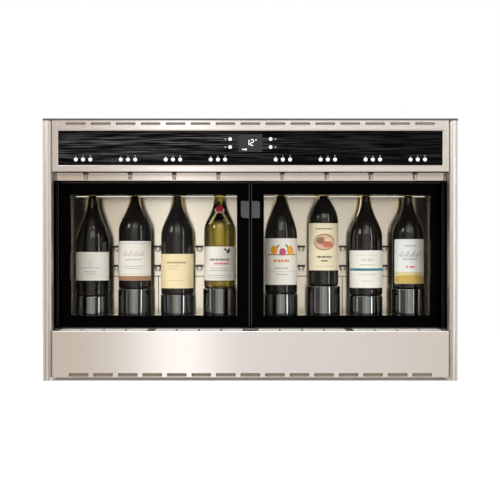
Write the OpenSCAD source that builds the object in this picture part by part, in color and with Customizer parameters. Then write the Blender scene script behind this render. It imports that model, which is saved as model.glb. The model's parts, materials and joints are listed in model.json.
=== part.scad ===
// Countertop wine preservation dispenser. Eight bottles stand on sprung lifters behind two glass doors,
// each pressed up against a tap head that feeds the spout in front of it. Dose buttons sit above each spout,
// and a drip tray with four cover plates lies under the spouts.
// The front faces -Y, +X is to the right, Z = 0 is the worktop, and the origin is the footprint's centre.

/* [Cabinet] */
// Thickness of a side panel, which is also the diameter of its bullnose front edge
side_t = 24; // [20:1:30]
// Thickness of the folded sheet steel
sheet = 1.5; // [1:0.1:1.8]
// Outer radius of the folds in the sheet steel
fold_r = 2.5; // [2:0.1:4]
// Height of the top cover's rim
cover_h = 5; // [4:0.5:8]
// Height of the feet under the base pan
foot_h = 8; // [6:0.5:12]
// Radius of a foot
foot_r = 20; // [14:1:28]
// Distance from the front or the rear to a foot's centre
foot_inset = 95; // [60:1:110]
// How far the rear panel is set in from the rear edges of the side panels
rear_inset = 10.5; // [10.5:0.5:18]
// Depth of the machine space behind the chambers
machine_d = 148; // [146:1:190]

/* [Stations] */
// Distance between neighbouring bottles
station_pitch = 110; // [106:1:120]
// Distance from the centre line to the first bottle on each side
first_station = 79.5; // [79:0.5:90]
// Distance from the last bottle to the side panel
end_margin = 76.5; // [76:0.5:90]

/* [Lower fascia] */
// Height of the lower fascia
lower_h = 114.5; // [112:0.5:130]
// Depth of the lip in front of the drip tray
lip_d = 6; // [5:0.5:9]
// Depth of the drip tray recess below the lip
recess_h = 25; // [22:0.5:30]
// Width of a ventilation slot
vent_w = 48; // [40:1:52]
// Height of a lower ventilation slot
low_vent_h = 8.4; // [6:0.2:9]
// Height of an upper ventilation slot
high_vent_h = 6.3; // [5:0.1:7]
// Distance from the lower fascia's bottom edge to the lower slots
low_vent_rise = 2.8; // [2.5:0.1:6]
// Distance between neighbouring lower slots
low_vent_pitch = 60; // [56:0.2:62]
// Distance between neighbouring upper slots
high_vent_pitch = 61; // [56:0.2:62]

/* [Doors] */
// Depth from the fascia to the door fronts, which is the serving space under the spouts
serving_d = 80; // [79:1:100]
// Thickness of a door
door_t = 24.5; // [22:0.5:28]
// Height of a door
door_h = 366.4; // [366:0.2:380]
// Gap between the two doors
door_gap = 4; // [3:0.5:6]
// Gap above and below a door
door_clear = 1.7; // [1.2:0.1:2.5]
// Width of the black border round the window
border_w = 31; // [26:1:36]
// Radius of a door's outer bottom corner
door_corner_r = 5; // [3:0.5:8]
// Thickness of the window glass
glass_t = 4; // [3:0.5:6]
// Radius of a hinge pin
pin_r = 4; // [3:0.5:5]
// Length of a hinge pin
pin_l = 9; // [7:0.5:10]
// Width of a door pull
pull_w = 21; // [18:0.5:26]
// Height of a door pull
pull_h = 42.8; // [36:0.2:60]
// Finger room behind a door pull
pull_reach = 6; // [5:0.5:7]
// Distance from a door's top edge to its pull
pull_drop = 47.4; // [40:0.2:80]

/* [Upper fascia] */
// Height of the recessed spout rail
rail_h = 19.2; // [16:0.2:22]
// Height of the upper fascia
upper_h = 125.5; // [124:0.5:140]
// Height of the black control panel
panel_h = 85.6; // [84:0.2:92]
// Distance from the upper fascia's bottom edge to the control panel
panel_rise = 15.6; // [12:0.2:18]
// Thickness of the control panel
panel_t = 3; // [2.5:0.1:4]
// How far the control panel lies behind the front of the fascia
panel_set = 2; // [1.5:0.1:2.5]
// Width of the steel to the left and right of the control panel
panel_margin = 15; // [12:0.5:20]
// Width of the display
display_w = 58; // [48:1:64]
// Height of the display
display_h = 43; // [36:1:44]

/* [Buttons] */
// Radius of a dose button
dose_r = 4.7; // [4:0.1:5.5]
// Distance between a station's dose buttons
dose_pitch = 17.7; // [15:0.1:20]
// Radius of a menu button
menu_r = 4.4; // [4:0.1:5]
// Distance from the centre line to the menu buttons
menu_x = 49.6; // [46:0.2:54]
// Distance between the upper and lower menu buttons
menu_pitch = 19.6; // [16:0.2:22]
// Travel of a button
button_travel = 1; // [0.6:0.1:1.2]

/* [Taps] */
// Radius of a spout tube
spout_r = 4.2; // [3.5:0.1:5]
// Radius of the bore of a spout tube
spout_bore_r = 2.6; // [2:0.1:3]
// Distance from the fascia to the spouts
spout_set = 42; // [40:0.5:42.5]
// Length of a spout below the fascia
spout_drop = 15.9; // [12:0.1:16.5]
// Radius of a tap head's bottle cup
head_r = 23; // [21:0.5:26]

/* [Chambers] */
// Depth of a bottle chamber
chamber_d = 125; // [124:1:140]
// Distance from the chamber's front to the bottle axis
bottle_set = 65; // [64:0.5:70]
// Radius of a bottle lifter
lifter_r = 43; // [40:0.5:44]
// Wall thickness of a bottle lifter
lifter_wall = 3; // [2.5:0.1:4]
// Gap between a lifter and its well
lifter_gap = 0.6; // [0.4:0.1:0.9]
// Width of the wall between the two chambers
divider_w = 24; // [20:1:30]
// Radius of a lifter spring's coils
spring_r = 30; // [24:1:34]
// Radius of the spring wire
wire_r = 1.8; // [1.2:0.1:2.2]

/* [Rear panel] */
// Width of a louvre
louvre_w = 150; // [120:1:180]
// Height of a louvre's slot
louvre_h = 6; // [5:0.5:8]
// Distance between neighbouring louvres
louvre_pitch = 16; // [14:0.5:20]
// Distance between the columns of louvres
louvre_step = 300; // [260:1:310]
// Height of the lowest louvre over the worktop
louvre_z = 60; // [50:1:80]
// Width of the power socket's recess
socket_w = 24; // [22:0.5:26]
// Height of the power socket's recess
socket_h = 17; // [15:0.5:19]
// Depth of the power socket's recess
socket_d = 16; // [12:0.5:20]
// Height of the power socket over the worktop
socket_z = 330; // [260:1:380]
// Distance from the side panel to the power socket
socket_inset = 60; // [30:1:80]
// Outer radius of the gas inlet
inlet_r = 6; // [5.5:0.1:8]
// Radius of the gas inlet's bore
port_r = 4.1; // [3:0.1:4.5]
// Depth of the gas inlet's bore
port_d = 14; // [8:1:18]

/* [Hidden] */
$fn = 48;
gap = 0.3;          // seating gap between pieces
fit = 0.05;         // radial clearance of a hinge pin
over = 1;           // how far a cut runs past the face that it opens
per_door = 4;       // stations behind each door
vents = 15;         // ventilation slots in a row
vent_r = 2;         // corner radius of a ventilation slot
high_vent_drop = 4.6;   // upper slots under the top cover
louvre_rows = 8;
spring_turns = 5;
flange_d = 20;      // depth of the flanges behind the fascias
boss_wall = 4;      // wall round a hinge pin's hole
cheek_t = 1.2;      // sheet that lines the side panels beside the doors
door_side = 1.05;   // gap between a door and the cheek
insulation = 12;    // foam between the chambers and the side panels
seal_gap = 0.5;     // room for the seal between a door and the chambers
wall_t = 3;         // back panels of the chambers
seam = 2;           // joint between two back panels
lamp_t = 12;        // height and depth of the lamp rail

// Rises over the lower fascia or the chamber floor
floor_rise = 27.5;
lift_rise = 18;
back_panel_h = 100;
guide_rises = [126, 177];

// Rises over the lower edge of the upper fascia, of the control panel or over the chamber ceiling
mouth_rise = 4.5;
ceiling_rise = 14.5;
dose_rise = 14.5;
menu_rise = 45;
tap_rise = 22;
valve_rise = 12;    // a tap head's valve over its outlet
manifold_rise = 59;
lamp_drop = 30;

// Heights of the eight bottles that the lifters hold, left to right
bottle_h = [315, 296, 311, 295, 309, 289, 314, 296];

// Across, from the centre line
inner_hw = first_station + (per_door - 1) * station_pitch + end_margin;
cabinet_w = 2 * (inner_hw + side_t);
hinge_x = inner_hw - cheek_t - door_side - door_t / 2;
chamber_hw = inner_hw - insulation;
chamber_mid = (chamber_hw + divider_w / 2) / 2;
chamber_half = (chamber_hw - divider_w / 2) / 2;
station_x = [for (s = [-1, 1], k = [0 : per_door - 1])
    s * (first_station + station_pitch * (s < 0 ? per_door - 1 - k : k))];
guide_x = [for (s = [-1, 1], k = [0.5 : per_door - 1.5]) s * (first_station + station_pitch * k)];

// In depth, from the front plane
liner_y = serving_d + door_t + seal_gap;
back_y = liner_y + chamber_d;
wall_y = back_y - wall_t;
rear_y = back_y + machine_d;
cabinet_d = rear_y + sheet + rear_inset;
front = -cabinet_d / 2;
hinge_y = serving_d + door_t / 2;
bottle_y = liner_y + bottle_set;
spout_gap = 3.8;
outlet_l = 3;       // how far a tap head's outlet stands out from its cup
rail_y = spout_set + spout_r + spout_gap;
cheek_y = 30;
recess_end = serving_d - 1;
manifold_set = 55;
manifold_y = bottle_y + manifold_set;

// In height, from the worktop
lower_top = foot_h + lower_h;
door_z = lower_top + door_clear;
door_top = door_z + door_h;
rail_z = door_top + door_clear;
upper_z = rail_z + rail_h;
upper_top = upper_z + upper_h;
panel_z = upper_z + panel_rise;
shelf_z = lower_top - recess_h;
floor_z = lower_top + floor_rise;
ceiling_z = upper_z + ceiling_rise;
mouth_z = upper_z + mouth_rise;
dose_z = panel_z + dose_rise;
menu_z = panel_z + menu_rise;
display_z = menu_z + menu_pitch / 2;
tap_z = ceiling_z + tap_rise;
manifold_z = ceiling_z + manifold_rise;
lamp_z = rail_z - lamp_drop;
guide_z = [for (r = guide_rises) floor_z + r];

// A lifter keeps some length in its well at the top, and clears the well's floor at the bottom
lifter_grip = 12;
well_clear = 2;
lifter_lid = 5;
lift_low = floor_z + lift_rise;
lifter_top = [for (h = bottle_h) mouth_z - h];
lifter_h = max(lifter_top) - floor_z + lifter_grip;
well_z = lift_low - lifter_h - well_clear;

// Fascia depths that the buttons and the display share
panel_back = panel_set + panel_t;
well_d = 9;
well_wall = 3;
button_proud = 1.4;

// Drip tray and its cover plates
tray_wall = 1.8;
tray_r = 6;
tray_side = 8;
tray_clear = 0.5;
tray_drop = 2.8;
tray_hw = inner_hw - tray_side;
tray_front = lip_d + tray_clear;
tray_back = recess_end - tray_clear;
tray_z = shelf_z + sheet + gap;
tray_top = lower_top - tray_drop;
plate_t = 2;
plate_fields = 4;
field_gap = 4;
notch_w = 20;
plate_side = 6;
plate_w = (tray_hw - plate_side - 2 * notch_w) / 2;
plate_x = [for (s = [-1, 1], k = [0, 1]) s * (notch_w + plate_w / 2 + k * (plate_w + notch_w))];

// Window of a door, whose border is wider beside the gap and narrower beside the hinge
door_edge = door_gap / 2;
meeting_extra = 1;
hinge_less = 1.5;
window_in = door_edge + border_w + meeting_extra;
window_out = hinge_x + door_t / 2 - border_w + hinge_less;
window_z = door_z + border_w;
window_top = door_top - border_w;
groove = 6;         // depth of the groove that holds the pane
glass_set = 2;
glass_y = serving_d + glass_set;
mouth_drop = 6;     // top of the chamber mouths under the doors' top edges

// Corner radii of the pulls: both pulls' inner corners, then the outer ones above and below
pull_in_r = 1.5;
left_pull_r = [1.5, 10];
right_pull_r = [7, 3];
pull_t = 2.5;
pull_web = 3;
pull_inset = 1;

// Cooling unit, counted from the back of the chambers and from the base pan
compressor_set = 72;
condenser_set = 60;
condenser_d = 40;
cooler_h = 120;

// Places on the rear panel
louvre_x = [-louvre_step, 0, louvre_step];
socket_x = -inner_hw + socket_inset;
inlet_inset = 46;
inlet_x = inner_hw - inlet_inset;

steel = [0.84, 0.80, 0.77];
champagne = [0.80, 0.75, 0.68];
black = [0.05, 0.05, 0.05];

// ---- Shapes used by several pieces ----

// Rectangle from one corner to the other
module span(x0, y0, x1, y1) translate([x0, y0]) square([x1 - x0, y1 - y0]);

// Box from one corner to the other, with depth counted from the front plane
module block(x0, y0, z0, x1, y1, z1)
    translate([x0, front + y0, z0]) cube([x1 - x0, y1 - y0, z1 - z0]);

// Rectangle with round corners, its corner at the origin
module rounded(w, h, r) {
    translate([r, 0]) square([w - 2 * r, h]);
    translate([0, r]) square([w, h - 2 * r]);
    for (x = [r, w - r], y = [r, h - r]) translate([x, y]) circle(r);
}

// Quarter ring of folded sheet round a centre, in the quadrant that qx and qy point to
module fold(x, y, qx, qy) translate([x, y]) intersection() {
    difference() {
        circle(fold_r);
        circle(fold_r - sheet);
    }
    translate([min(0, qx * fold_r), min(0, qy * fold_r)]) square(fold_r);
}

// Extrudes a depth and height outline across the cabinet, between the side panels
module across(hw = inner_hw)
    translate([-hw, front, 0]) rotate([90, 0, 90]) linear_extrude(2 * hw) children();

// Extrudes a front outline backwards, from one depth to another
module backwards(y0, y1)
    translate([0, front + y1, 0]) rotate([90, 0, 0]) linear_extrude(y1 - y0) children();

// Cylinder that lies along the depth
module rod_y(x, z, r, y0, y1)
    translate([x, front + y1, z]) rotate([90, 0, 0]) cylinder(h = y1 - y0, r = r);

// Upright cylinder, with depth counted from the front plane
module rod_z(x, y, r, z0, z1) translate([x, front + y, z0]) cylinder(h = z1 - z0, r = r);

// Row of ventilation slots, as a front outline centred on the cabinet
module vent_row(z, h, pitch)
    for (i = [0 : vents - 1])
        translate([(i - (vents - 1) / 2) * pitch - vent_w / 2, z]) rounded(vent_w, h, vent_r);

// Flanges folded back from both ends of a fascia, which close it against the side panels
module end_returns(z0, z1) for (s = [-1, 1])
    translate([0, front, z0]) linear_extrude(z1 - z0) {
        fold(s * (inner_hw - fold_r), fold_r, s, -1);
        translate([s * (inner_hw - sheet / 2), (fold_r + flange_d) / 2])
            square([sheet, flange_d - fold_r], center = true);
    }

// ---- Casing ----

// Plan of a side panel, with its bullnose to the front
module side_plan(inset)
    translate([0, side_t / 2]) {
        translate([inset, 0]) square([side_t - 2 * inset, cabinet_d - side_t / 2 - inset]);
        translate([side_t / 2, 0]) circle(side_t / 2 - inset);
    }

module side_panels() color(steel)
    for (x = [-inner_hw - side_t, inner_hw]) translate([x, front, 0])
        linear_extrude(upper_top) difference() {
            side_plan(0);
            side_plan(sheet);
        }

module top_cover() color("dimgray")
    translate([-cabinet_w / 2, front, upper_top]) difference() {
        linear_extrude(cover_h) rounded(cabinet_w, cabinet_d, side_t / 2);
        translate([sheet, sheet, -over]) linear_extrude(cover_h - sheet + over)
            rounded(cabinet_w - 2 * sheet, cabinet_d - 2 * sheet, side_t / 2 - sheet);
    }

module base_pan() color("silver") {
    flange = 25;
    pan_y = fold_r + flange_d;
    foot_side = 55;
    foot_x = inner_hw - foot_side;
    difference() {
        block(-inner_hw, pan_y, foot_h, inner_hw, rear_y, foot_h + flange);
        block(-inner_hw + sheet, pan_y - over, foot_h + sheet,
              inner_hw - sheet, rear_y - sheet, foot_h + flange + over);
    }
    for (x = [-foot_x, foot_x], y = [foot_inset, rear_y - foot_inset]) rod_z(x, y, foot_r, 0, foot_h);
}

// Louvres pressed out of the rear panel: a slot under each sloping hood
module louvre_slots() for (x = louvre_x, k = [0 : louvre_rows - 1])
    block(x - louvre_w / 2, rear_y - over, louvre_z + k * louvre_pitch,
          x + louvre_w / 2, rear_y + sheet + over, louvre_z + k * louvre_pitch + louvre_h);

module louvre_hoods() for (x = louvre_x, k = [0 : louvre_rows - 1]) {
    hood = 4;
    lip = 1;
    root = 2;
    translate([x - louvre_w / 2, front + rear_y + sheet, louvre_z + k * louvre_pitch + louvre_h])
        rotate([90, 0, 90]) linear_extrude(louvre_w)
            polygon([[0, 0], [hood, -hood], [hood, lip - hood], [0, root]]);
}

module rear_panel() color(steel) {
    housing = 3;
    pin_pitch = 7;
    pin_w = 2;
    pin_tall = 4;
    pin_end = 6;
    face = rear_y + sheet;
    difference() {
        union() {
            block(-inner_hw, rear_y, foot_h + sheet + gap, inner_hw, face, upper_top);
            translate([socket_x, 0, socket_z])
                block(-socket_w / 2 - housing, face - socket_d - housing, -socket_h / 2 - housing,
                      socket_w / 2 + housing, face, socket_h / 2 + housing);
        }
        louvre_slots();
        rod_y(inlet_x, manifold_z, inlet_r + gap, rear_y - over, face + over);
        translate([socket_x - socket_w / 2, 0, socket_z - socket_h / 2])
            backwards(face - socket_d, face + over) rounded(socket_w, socket_h, housing);
    }
    louvre_hoods();
    for (k = [-1, 0, 1]) translate([socket_x + pin_pitch * k, 0, socket_z + (k == 0 ? pin_tall : 0)])
        block(-pin_w / 2, face - socket_d - over, -pin_tall / 2, pin_w / 2, face - pin_end, pin_tall / 2);
}

// ---- Upper fascia, controls and display ----

module upper_front() {
    span(0, upper_z + fold_r, sheet, upper_top);
    span(0, upper_top - sheet, flange_d, upper_top);
    fold(fold_r, upper_z + fold_r, -1, -1);
}

module panel_outline(grow)
    translate([-inner_hw + panel_margin - grow, panel_z - grow])
        square([2 * (inner_hw - panel_margin + grow), panel_h + 2 * grow]);

// Frustum that bevels the opening round the control panel, run past both of its faces
module panel_bevel() {
    bevel = panel_set;
    frame_w = 2 * (inner_hw - panel_margin);
    mouth = [frame_w + 2 * (bevel + over), panel_h + 2 * (bevel + over)];
    throat = [frame_w - 2 * over, panel_h - 2 * over];
    translate([0, front - over, panel_z + panel_h / 2]) rotate([-90, 0, 0])
        linear_extrude(bevel + 2 * over, slices = 1, scale = [throat[0] / mouth[0], throat[1] / mouth[1]])
            square(mouth, center = true);
}

module upper_fascia() color(steel) difference() {
    union() {
        across(inner_hw - fold_r) upper_front();
        across() span(fold_r, upper_z, liner_y - gap, upper_z + sheet);
        end_returns(upper_z + fold_r, upper_top);
        backwards(0, panel_back) panel_outline(2 * sheet);
    }
    backwards(-over, panel_back + over) panel_outline(0);
    backwards(-over, sheet + over)
        vent_row(upper_top - high_vent_drop - high_vent_h, high_vent_h, high_vent_pitch);
    panel_bevel();
    for (x = station_x) rod_z(x, spout_set, spout_r + gap, upper_z - over, upper_z + sheet + over);
}

// Places a child at each of a station's three dose buttons
module at_doses() for (x = station_x, k = [-1, 0, 1]) translate([x + k * dose_pitch, 0, dose_z]) children();

// Places a child at each of the four menu buttons
module at_menu() for (s = [-1, 1], k = [0, 1])
    translate([s * menu_x, 0, menu_z + k * menu_pitch]) children();

module control_panel() color(black) {
    bar = panel_set + well_d + sheet;
    difference() {
        union() {
            backwards(panel_set, panel_back) panel_outline(-gap);
            for (x = station_x)
                block(x - dose_pitch - dose_r - well_wall, panel_set, dose_z - dose_r - well_wall,
                      x + dose_pitch + dose_r + well_wall, bar, dose_z + dose_r + well_wall);
            for (s = [-1, 1])
                block(s * menu_x - menu_r - well_wall, panel_set, menu_z - menu_r - well_wall,
                      s * menu_x + menu_r + well_wall, bar, menu_z + menu_pitch + menu_r + well_wall);
        }
        at_doses() rod_y(0, 0, dose_r + gap, panel_set - over, panel_set + well_d);
        at_menu() rod_y(0, 0, menu_r + gap, panel_set - over, panel_set + well_d);
        block(-display_w / 2 - gap, panel_set - over, display_z - display_h / 2 - gap,
              display_w / 2 + gap, panel_back + over, display_z + display_h / 2 + gap);
    }
}

module display() color([0.2, 0.22, 0.22]) {
    flange = 4;
    set_back = 0.4;
    module_t = 9;
    block(-display_w / 2, panel_set + set_back, display_z - display_h / 2,
          display_w / 2, panel_back + gap + over, display_z + display_h / 2);
    block(-display_w / 2 - flange, panel_back + gap, display_z - display_h / 2 - flange,
          display_w / 2 + flange, panel_back + module_t, display_z + display_h / 2 + flange);
}

// Push button with a softly rounded cap, standing in its well
module button(r) color("gainsboro") {
    proud_y = panel_set - button_proud;
    len = button_proud + well_d - button_travel - gap;
    round_r = 0.8;
    translate([0, front + proud_y + len, 0]) rotate([90, 0, 0]) rotate_extrude() {
        square([r - round_r, len]);
        square([r, len - round_r]);
        intersection() {
            translate([r - round_r, len - round_r]) circle(round_r);
            square([r, len]);
        }
    }
}

module dose_button(i, b) translate([station_x[i - 1] + (b - 1) * dose_pitch, 0, dose_z]) button(dose_r);

// Menu buttons 1 and 2 are the upper ones, and 1 and 3 the left ones
module menu_button(i)
    translate([(i % 2 == 1 ? -1 : 1) * menu_x, 0, menu_z + (i < 3 ? menu_pitch : 0)]) button(menu_r);

// ---- Taps and gas ----

module rail_profile() {
    span(rail_y, rail_z + fold_r, rail_y + sheet, upper_z);
    span(rail_y + fold_r, rail_z, liner_y - gap - fold_r, rail_z + sheet);
    span(liner_y - gap - sheet, rail_z + fold_r, liner_y - gap, upper_z);
    fold(rail_y + fold_r, rail_z + fold_r, -1, -1);
    fold(liner_y - gap - fold_r, rail_z + fold_r, 1, -1);
}

module spout_rail() color(champagne) difference() {
    union() {
        across() rail_profile();
        for (s = [-1, 1]) rod_z(s * hinge_x, hinge_y, pin_r + boss_wall, rail_z, rail_z + pin_l);
    }
    for (s = [-1, 1]) rod_z(s * hinge_x, hinge_y, pin_r + fit, rail_z - over, rail_z + pin_l + over);
}

// Bent tube from the mouth of a spout up and back to its tap head, run past both ends by some excess
module spout_run(r, excess) {
    elbow = 12;
    reach = elbow + spout_r + over;
    rod_z(0, spout_set, r, upper_z - spout_drop - excess, tap_z - elbow);
    intersection() {
        translate([0, front + spout_set + elbow, tap_z - elbow]) rotate([0, 90, 0]) rotate_extrude()
            translate([elbow, 0]) circle(r);
        block(-reach, spout_set - reach, tap_z - elbow, reach, spout_set + elbow, tap_z + reach);
    }
    rod_y(0, tap_z, r, spout_set + elbow, bottle_y - head_r - outlet_l + excess);
}

module spout() difference() {
    spout_run(spout_r, 0);
    spout_run(spout_bore_r, over);
}

module spouts() color("silver") for (x = station_x) translate([x, 0, 0]) spout();

// A tap head: bottle cup with its stopper, flange on the chamber roof, and outlet towards the spout
module tap_head() {
    cup_wall = 5;
    cup_d = 20;
    brim = 5;
    brim_t = 3.5;
    valve_r = 16;
    outlet_r = 6;
    stopper_l = 16;
    stopper_r = 6;
    stopper_top_r = 9;
    cup_z = ceiling_z - cup_d;
    roof = ceiling_z + sheet;
    difference() {
        union() {
            rod_z(0, bottle_y, head_r, cup_z, roof);
            rod_z(0, bottle_y, head_r + brim, roof, roof + brim_t);
            rod_z(0, bottle_y, valve_r, roof + brim_t, tap_z + valve_rise);
            rod_y(0, tap_z, outlet_r, bottle_y - head_r - outlet_l, bottle_y - valve_r + cup_wall);
        }
        rod_z(0, bottle_y, head_r - cup_wall, cup_z - over, ceiling_z);
    }
    translate([0, front + bottle_y, ceiling_z - stopper_l])
        cylinder(h = stopper_l + over / 2, r1 = stopper_r, r2 = stopper_top_r);
}

module tap_heads() color([0.12, 0.12, 0.12]) for (x = station_x) translate([x, 0, 0]) tap_head();

module gas_manifold() color("silver") {
    pipe_r = 9;
    line_r = 3;
    stub_r = 6;
    coil_r = 12;
    coil_rise = 4;
    coil_h = 26;
    nut_wall = 4;
    nut_t = 5;
    line_z = tap_z + 2 * valve_rise;
    face = rear_y + sheet;
    inlet_end = face + rear_inset - over;
    difference() {
        union() {
            translate([station_x[0] - coil_r, front + manifold_y, manifold_z]) rotate([0, 90, 0])
                cylinder(h = inlet_x + pipe_r - station_x[0] + coil_r, r = pipe_r);
            rod_y(inlet_x, manifold_z, inlet_r, manifold_y, inlet_end);
            rod_y(inlet_x, manifold_z, inlet_r + nut_wall, rear_y - nut_t, rear_y - gap);
            rod_y(inlet_x, manifold_z, inlet_r + nut_wall, face + gap, face + nut_t);
            for (x = station_x) {
                rod_z(x, manifold_y, stub_r, line_z - line_r - over, manifold_z);
                rod_z(x, manifold_y, coil_r, manifold_z + coil_rise, manifold_z + coil_rise + coil_h);
                rod_y(x, line_z, line_r, bottle_y, manifold_y);
                translate([x, front + bottle_y, line_z]) sphere(line_r);
                rod_z(x, bottle_y, line_r, tap_z + valve_rise, line_z);
            }
        }
        rod_y(inlet_x, manifold_z, port_r, inlet_end - port_d, inlet_end + over);
    }
}

// ---- Lower fascia and drip tray ----

module lower_front() {
    span(0, foot_h + fold_r, sheet, lower_top - fold_r);
    fold(fold_r, foot_h + fold_r, -1, -1);
    fold(fold_r, lower_top - fold_r, -1, 1);
}

// Bottom flange, lip, recess of the drip tray and sill under the doors
module lower_shelf() {
    span(fold_r, foot_h, fold_r + flange_d, foot_h + sheet);
    span(fold_r, lower_top - sheet, lip_d, lower_top);
    span(lip_d - sheet, shelf_z, lip_d, lower_top);
    span(lip_d - sheet, shelf_z, recess_end + sheet, shelf_z + sheet);
    span(recess_end, shelf_z, recess_end + sheet, lower_top);
    span(recess_end, lower_top - sheet, liner_y - gap, lower_top);
}

module lower_fascia() color(steel) difference() {
    union() {
        across(inner_hw - fold_r) lower_front();
        across() lower_shelf();
        end_returns(foot_h + fold_r, lower_top - fold_r);
        for (s = [-1, 1]) rod_z(s * hinge_x, hinge_y, pin_r + boss_wall, lower_top - pin_l, lower_top);
    }
    backwards(-over, sheet + over) vent_row(foot_h + low_vent_rise, low_vent_h, low_vent_pitch);
    for (s = [-1, 1]) rod_z(s * hinge_x, hinge_y, pin_r + fit, lower_top - pin_l - over, lower_top + over);
}

module drip_tray() color([0.1, 0.1, 0.1])
    difference() {
        translate([-tray_hw, front + tray_front, tray_z]) linear_extrude(tray_top - tray_z)
            rounded(2 * tray_hw, tray_back - tray_front, tray_r);
        translate([-tray_hw + tray_wall, front + tray_front + tray_wall, tray_z + tray_wall])
            linear_extrude(tray_top - tray_z) rounded(2 * (tray_hw - tray_wall),
                tray_back - tray_front - 2 * tray_wall, tray_r - tray_wall);
    }

// One cover plate: fields of sheet steel between narrow drain slots
module drip_plate() {
    depth = tray_back - tray_front - 2 * tray_clear;
    border = 5;
    corner = 4;
    field = (plate_w - (plate_fields - 1) * field_gap) / plate_fields;
    linear_extrude(plate_t) difference() {
        translate([-plate_w / 2, 0]) rounded(plate_w, depth, corner);
        for (k = [1 : plate_fields - 1])
            translate([-plate_w / 2 + k * field + (k - 1) * field_gap, border])
                rounded(field_gap, depth - 2 * border, field_gap / 2 - 0.1);
    }
}

module drip_plates() color("gainsboro")
    for (x = plate_x) translate([x, front + tray_front + tray_clear, tray_top + gap]) drip_plate();

// ---- Doors ----

// Front outline of the right door, with its outer bottom corner rounded
module door_outline() {
    outer = hinge_x + door_t / 2;
    span(door_edge, door_z, outer - door_corner_r, door_top);
    span(door_edge, door_z + door_corner_r, outer, door_top);
    translate([outer - door_corner_r, door_z + door_corner_r]) circle(door_corner_r);
}

// Plan of the right door, its outer edge round about the hinge
module door_plan() {
    span(door_edge, front + serving_d, hinge_x, front + serving_d + door_t);
    translate([hinge_x, front + hinge_y]) circle(door_t / 2);
}

module door_frame() color(black) {
    difference() {
        intersection() {
            translate([0, 0, door_z]) linear_extrude(door_h) door_plan();
            backwards(serving_d, serving_d + door_t) door_outline();
        }
        block(window_in, serving_d - over, window_z, window_out, serving_d + door_t + over, window_top);
        block(window_in - groove, glass_y - gap, window_z - groove,
              window_out + groove, glass_y + glass_t + gap, window_top + groove);
    }
    rod_z(hinge_x, hinge_y, pin_r, door_z - door_clear - pin_l + over, door_z);
    rod_z(hinge_x, hinge_y, pin_r, door_top, door_top + door_clear + pin_l - over);
}

module door_glass() color([0.6, 0.7, 0.7, 0.3])
    block(window_in - groove + gap, glass_y, window_z - groove + gap,
          window_out + groove - gap, glass_y + glass_t, window_top + groove - gap);

// Front outline of a pull for the right door, with its upper and lower outer corner radii
module pull_outline(outer_r) {
    z = door_top - pull_drop - pull_h;
    x = door_edge + pull_inset;
    difference() {
        span(x, z, x + pull_w, z + pull_h);
        for (c = [[x + pull_w, z + pull_h, -1, -1, outer_r[0]], [x + pull_w, z, -1, 1, outer_r[1]],
                  [x, z + pull_h, 1, -1, pull_in_r], [x, z, 1, 1, pull_in_r]])
            difference() {
                translate([c[0] + min(0, c[2] * c[4]), c[1] + min(0, c[3] * c[4])]) square(c[4]);
                translate([c[0] + c[2] * c[4], c[1] + c[3] * c[4]]) circle(c[4]);
            }
    }
}

// The pull: a plate held off the door by a web along the door's inner edge
module door_pull(outer_r) color([0.4, 0.4, 0.4]) {
    pull_y = serving_d - pull_reach - pull_t;
    backwards(pull_y, pull_y + pull_t) pull_outline(outer_r);
    intersection() {
        backwards(pull_y, serving_d) pull_outline(outer_r);
        block(door_edge + pull_inset, 0, door_z, door_edge + pull_inset + pull_web, serving_d, door_top);
    }
}

// ---- Chambers ----

// Places a child at the middle of each chamber
module at_chambers() for (s = [-1, 1]) translate([s * chamber_mid, 0, 0]) children();

module chamber_voids() at_chambers()
    block(-chamber_half, liner_y + sheet, floor_z, chamber_half, back_y, ceiling_z);

module chamber_mouths() at_chambers()
    block(-chamber_half, liner_y - over, floor_z, chamber_half, liner_y + sheet + over, door_top - mouth_drop);

// Back panels of a chamber, two below and one above, with seams between them
module back_panels() {
    lower_w = chamber_half - seam;
    for (x = [-chamber_half + seam / 2, seam / 2])
        block(x, wall_y, floor_z, x + lower_w, back_y, floor_z + back_panel_h);
    block(-chamber_half + seam / 2, wall_y, floor_z + back_panel_h + seam,
          chamber_half - seam / 2, back_y, lamp_z - seam);
}

module chamber_liner() color(champagne) {
    well_r = lifter_r + lifter_gap;
    difference() {
        union() {
            block(-chamber_hw - sheet, liner_y, floor_z - sheet,
                  chamber_hw + sheet, back_y + sheet, ceiling_z + sheet);
            block(-inner_hw, liner_y, lower_top, inner_hw, liner_y + sheet, ceiling_z + sheet);
            for (x = station_x) rod_z(x, bottle_y, well_r + sheet, well_z - sheet, floor_z);
        }
        chamber_voids();
        chamber_mouths();
        block(-divider_w / 2 + sheet, liner_y + sheet, floor_z - sheet - over,
              divider_w / 2 - sheet, back_y + sheet + over, ceiling_z + sheet + over);
        for (x = station_x) {
            rod_z(x, bottle_y, well_r, well_z, floor_z + over);
            rod_z(x, bottle_y, head_r + gap, ceiling_z - over, ceiling_z + sheet + over);
        }
    }
    // cheeks that line the side panels in front of the chambers
    for (x = [-inner_hw, inner_hw - cheek_t]) {
        block(x, cheek_y, lower_top, x + cheek_t, liner_y, rail_z);
        block(x, cheek_y, rail_z, x + cheek_t, rail_y - gap, upper_z);
    }
    at_chambers() {
        back_panels();
        block(-chamber_half, back_y - lamp_t, lamp_z, chamber_half, back_y, lamp_z + lamp_t);
    }
}

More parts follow.
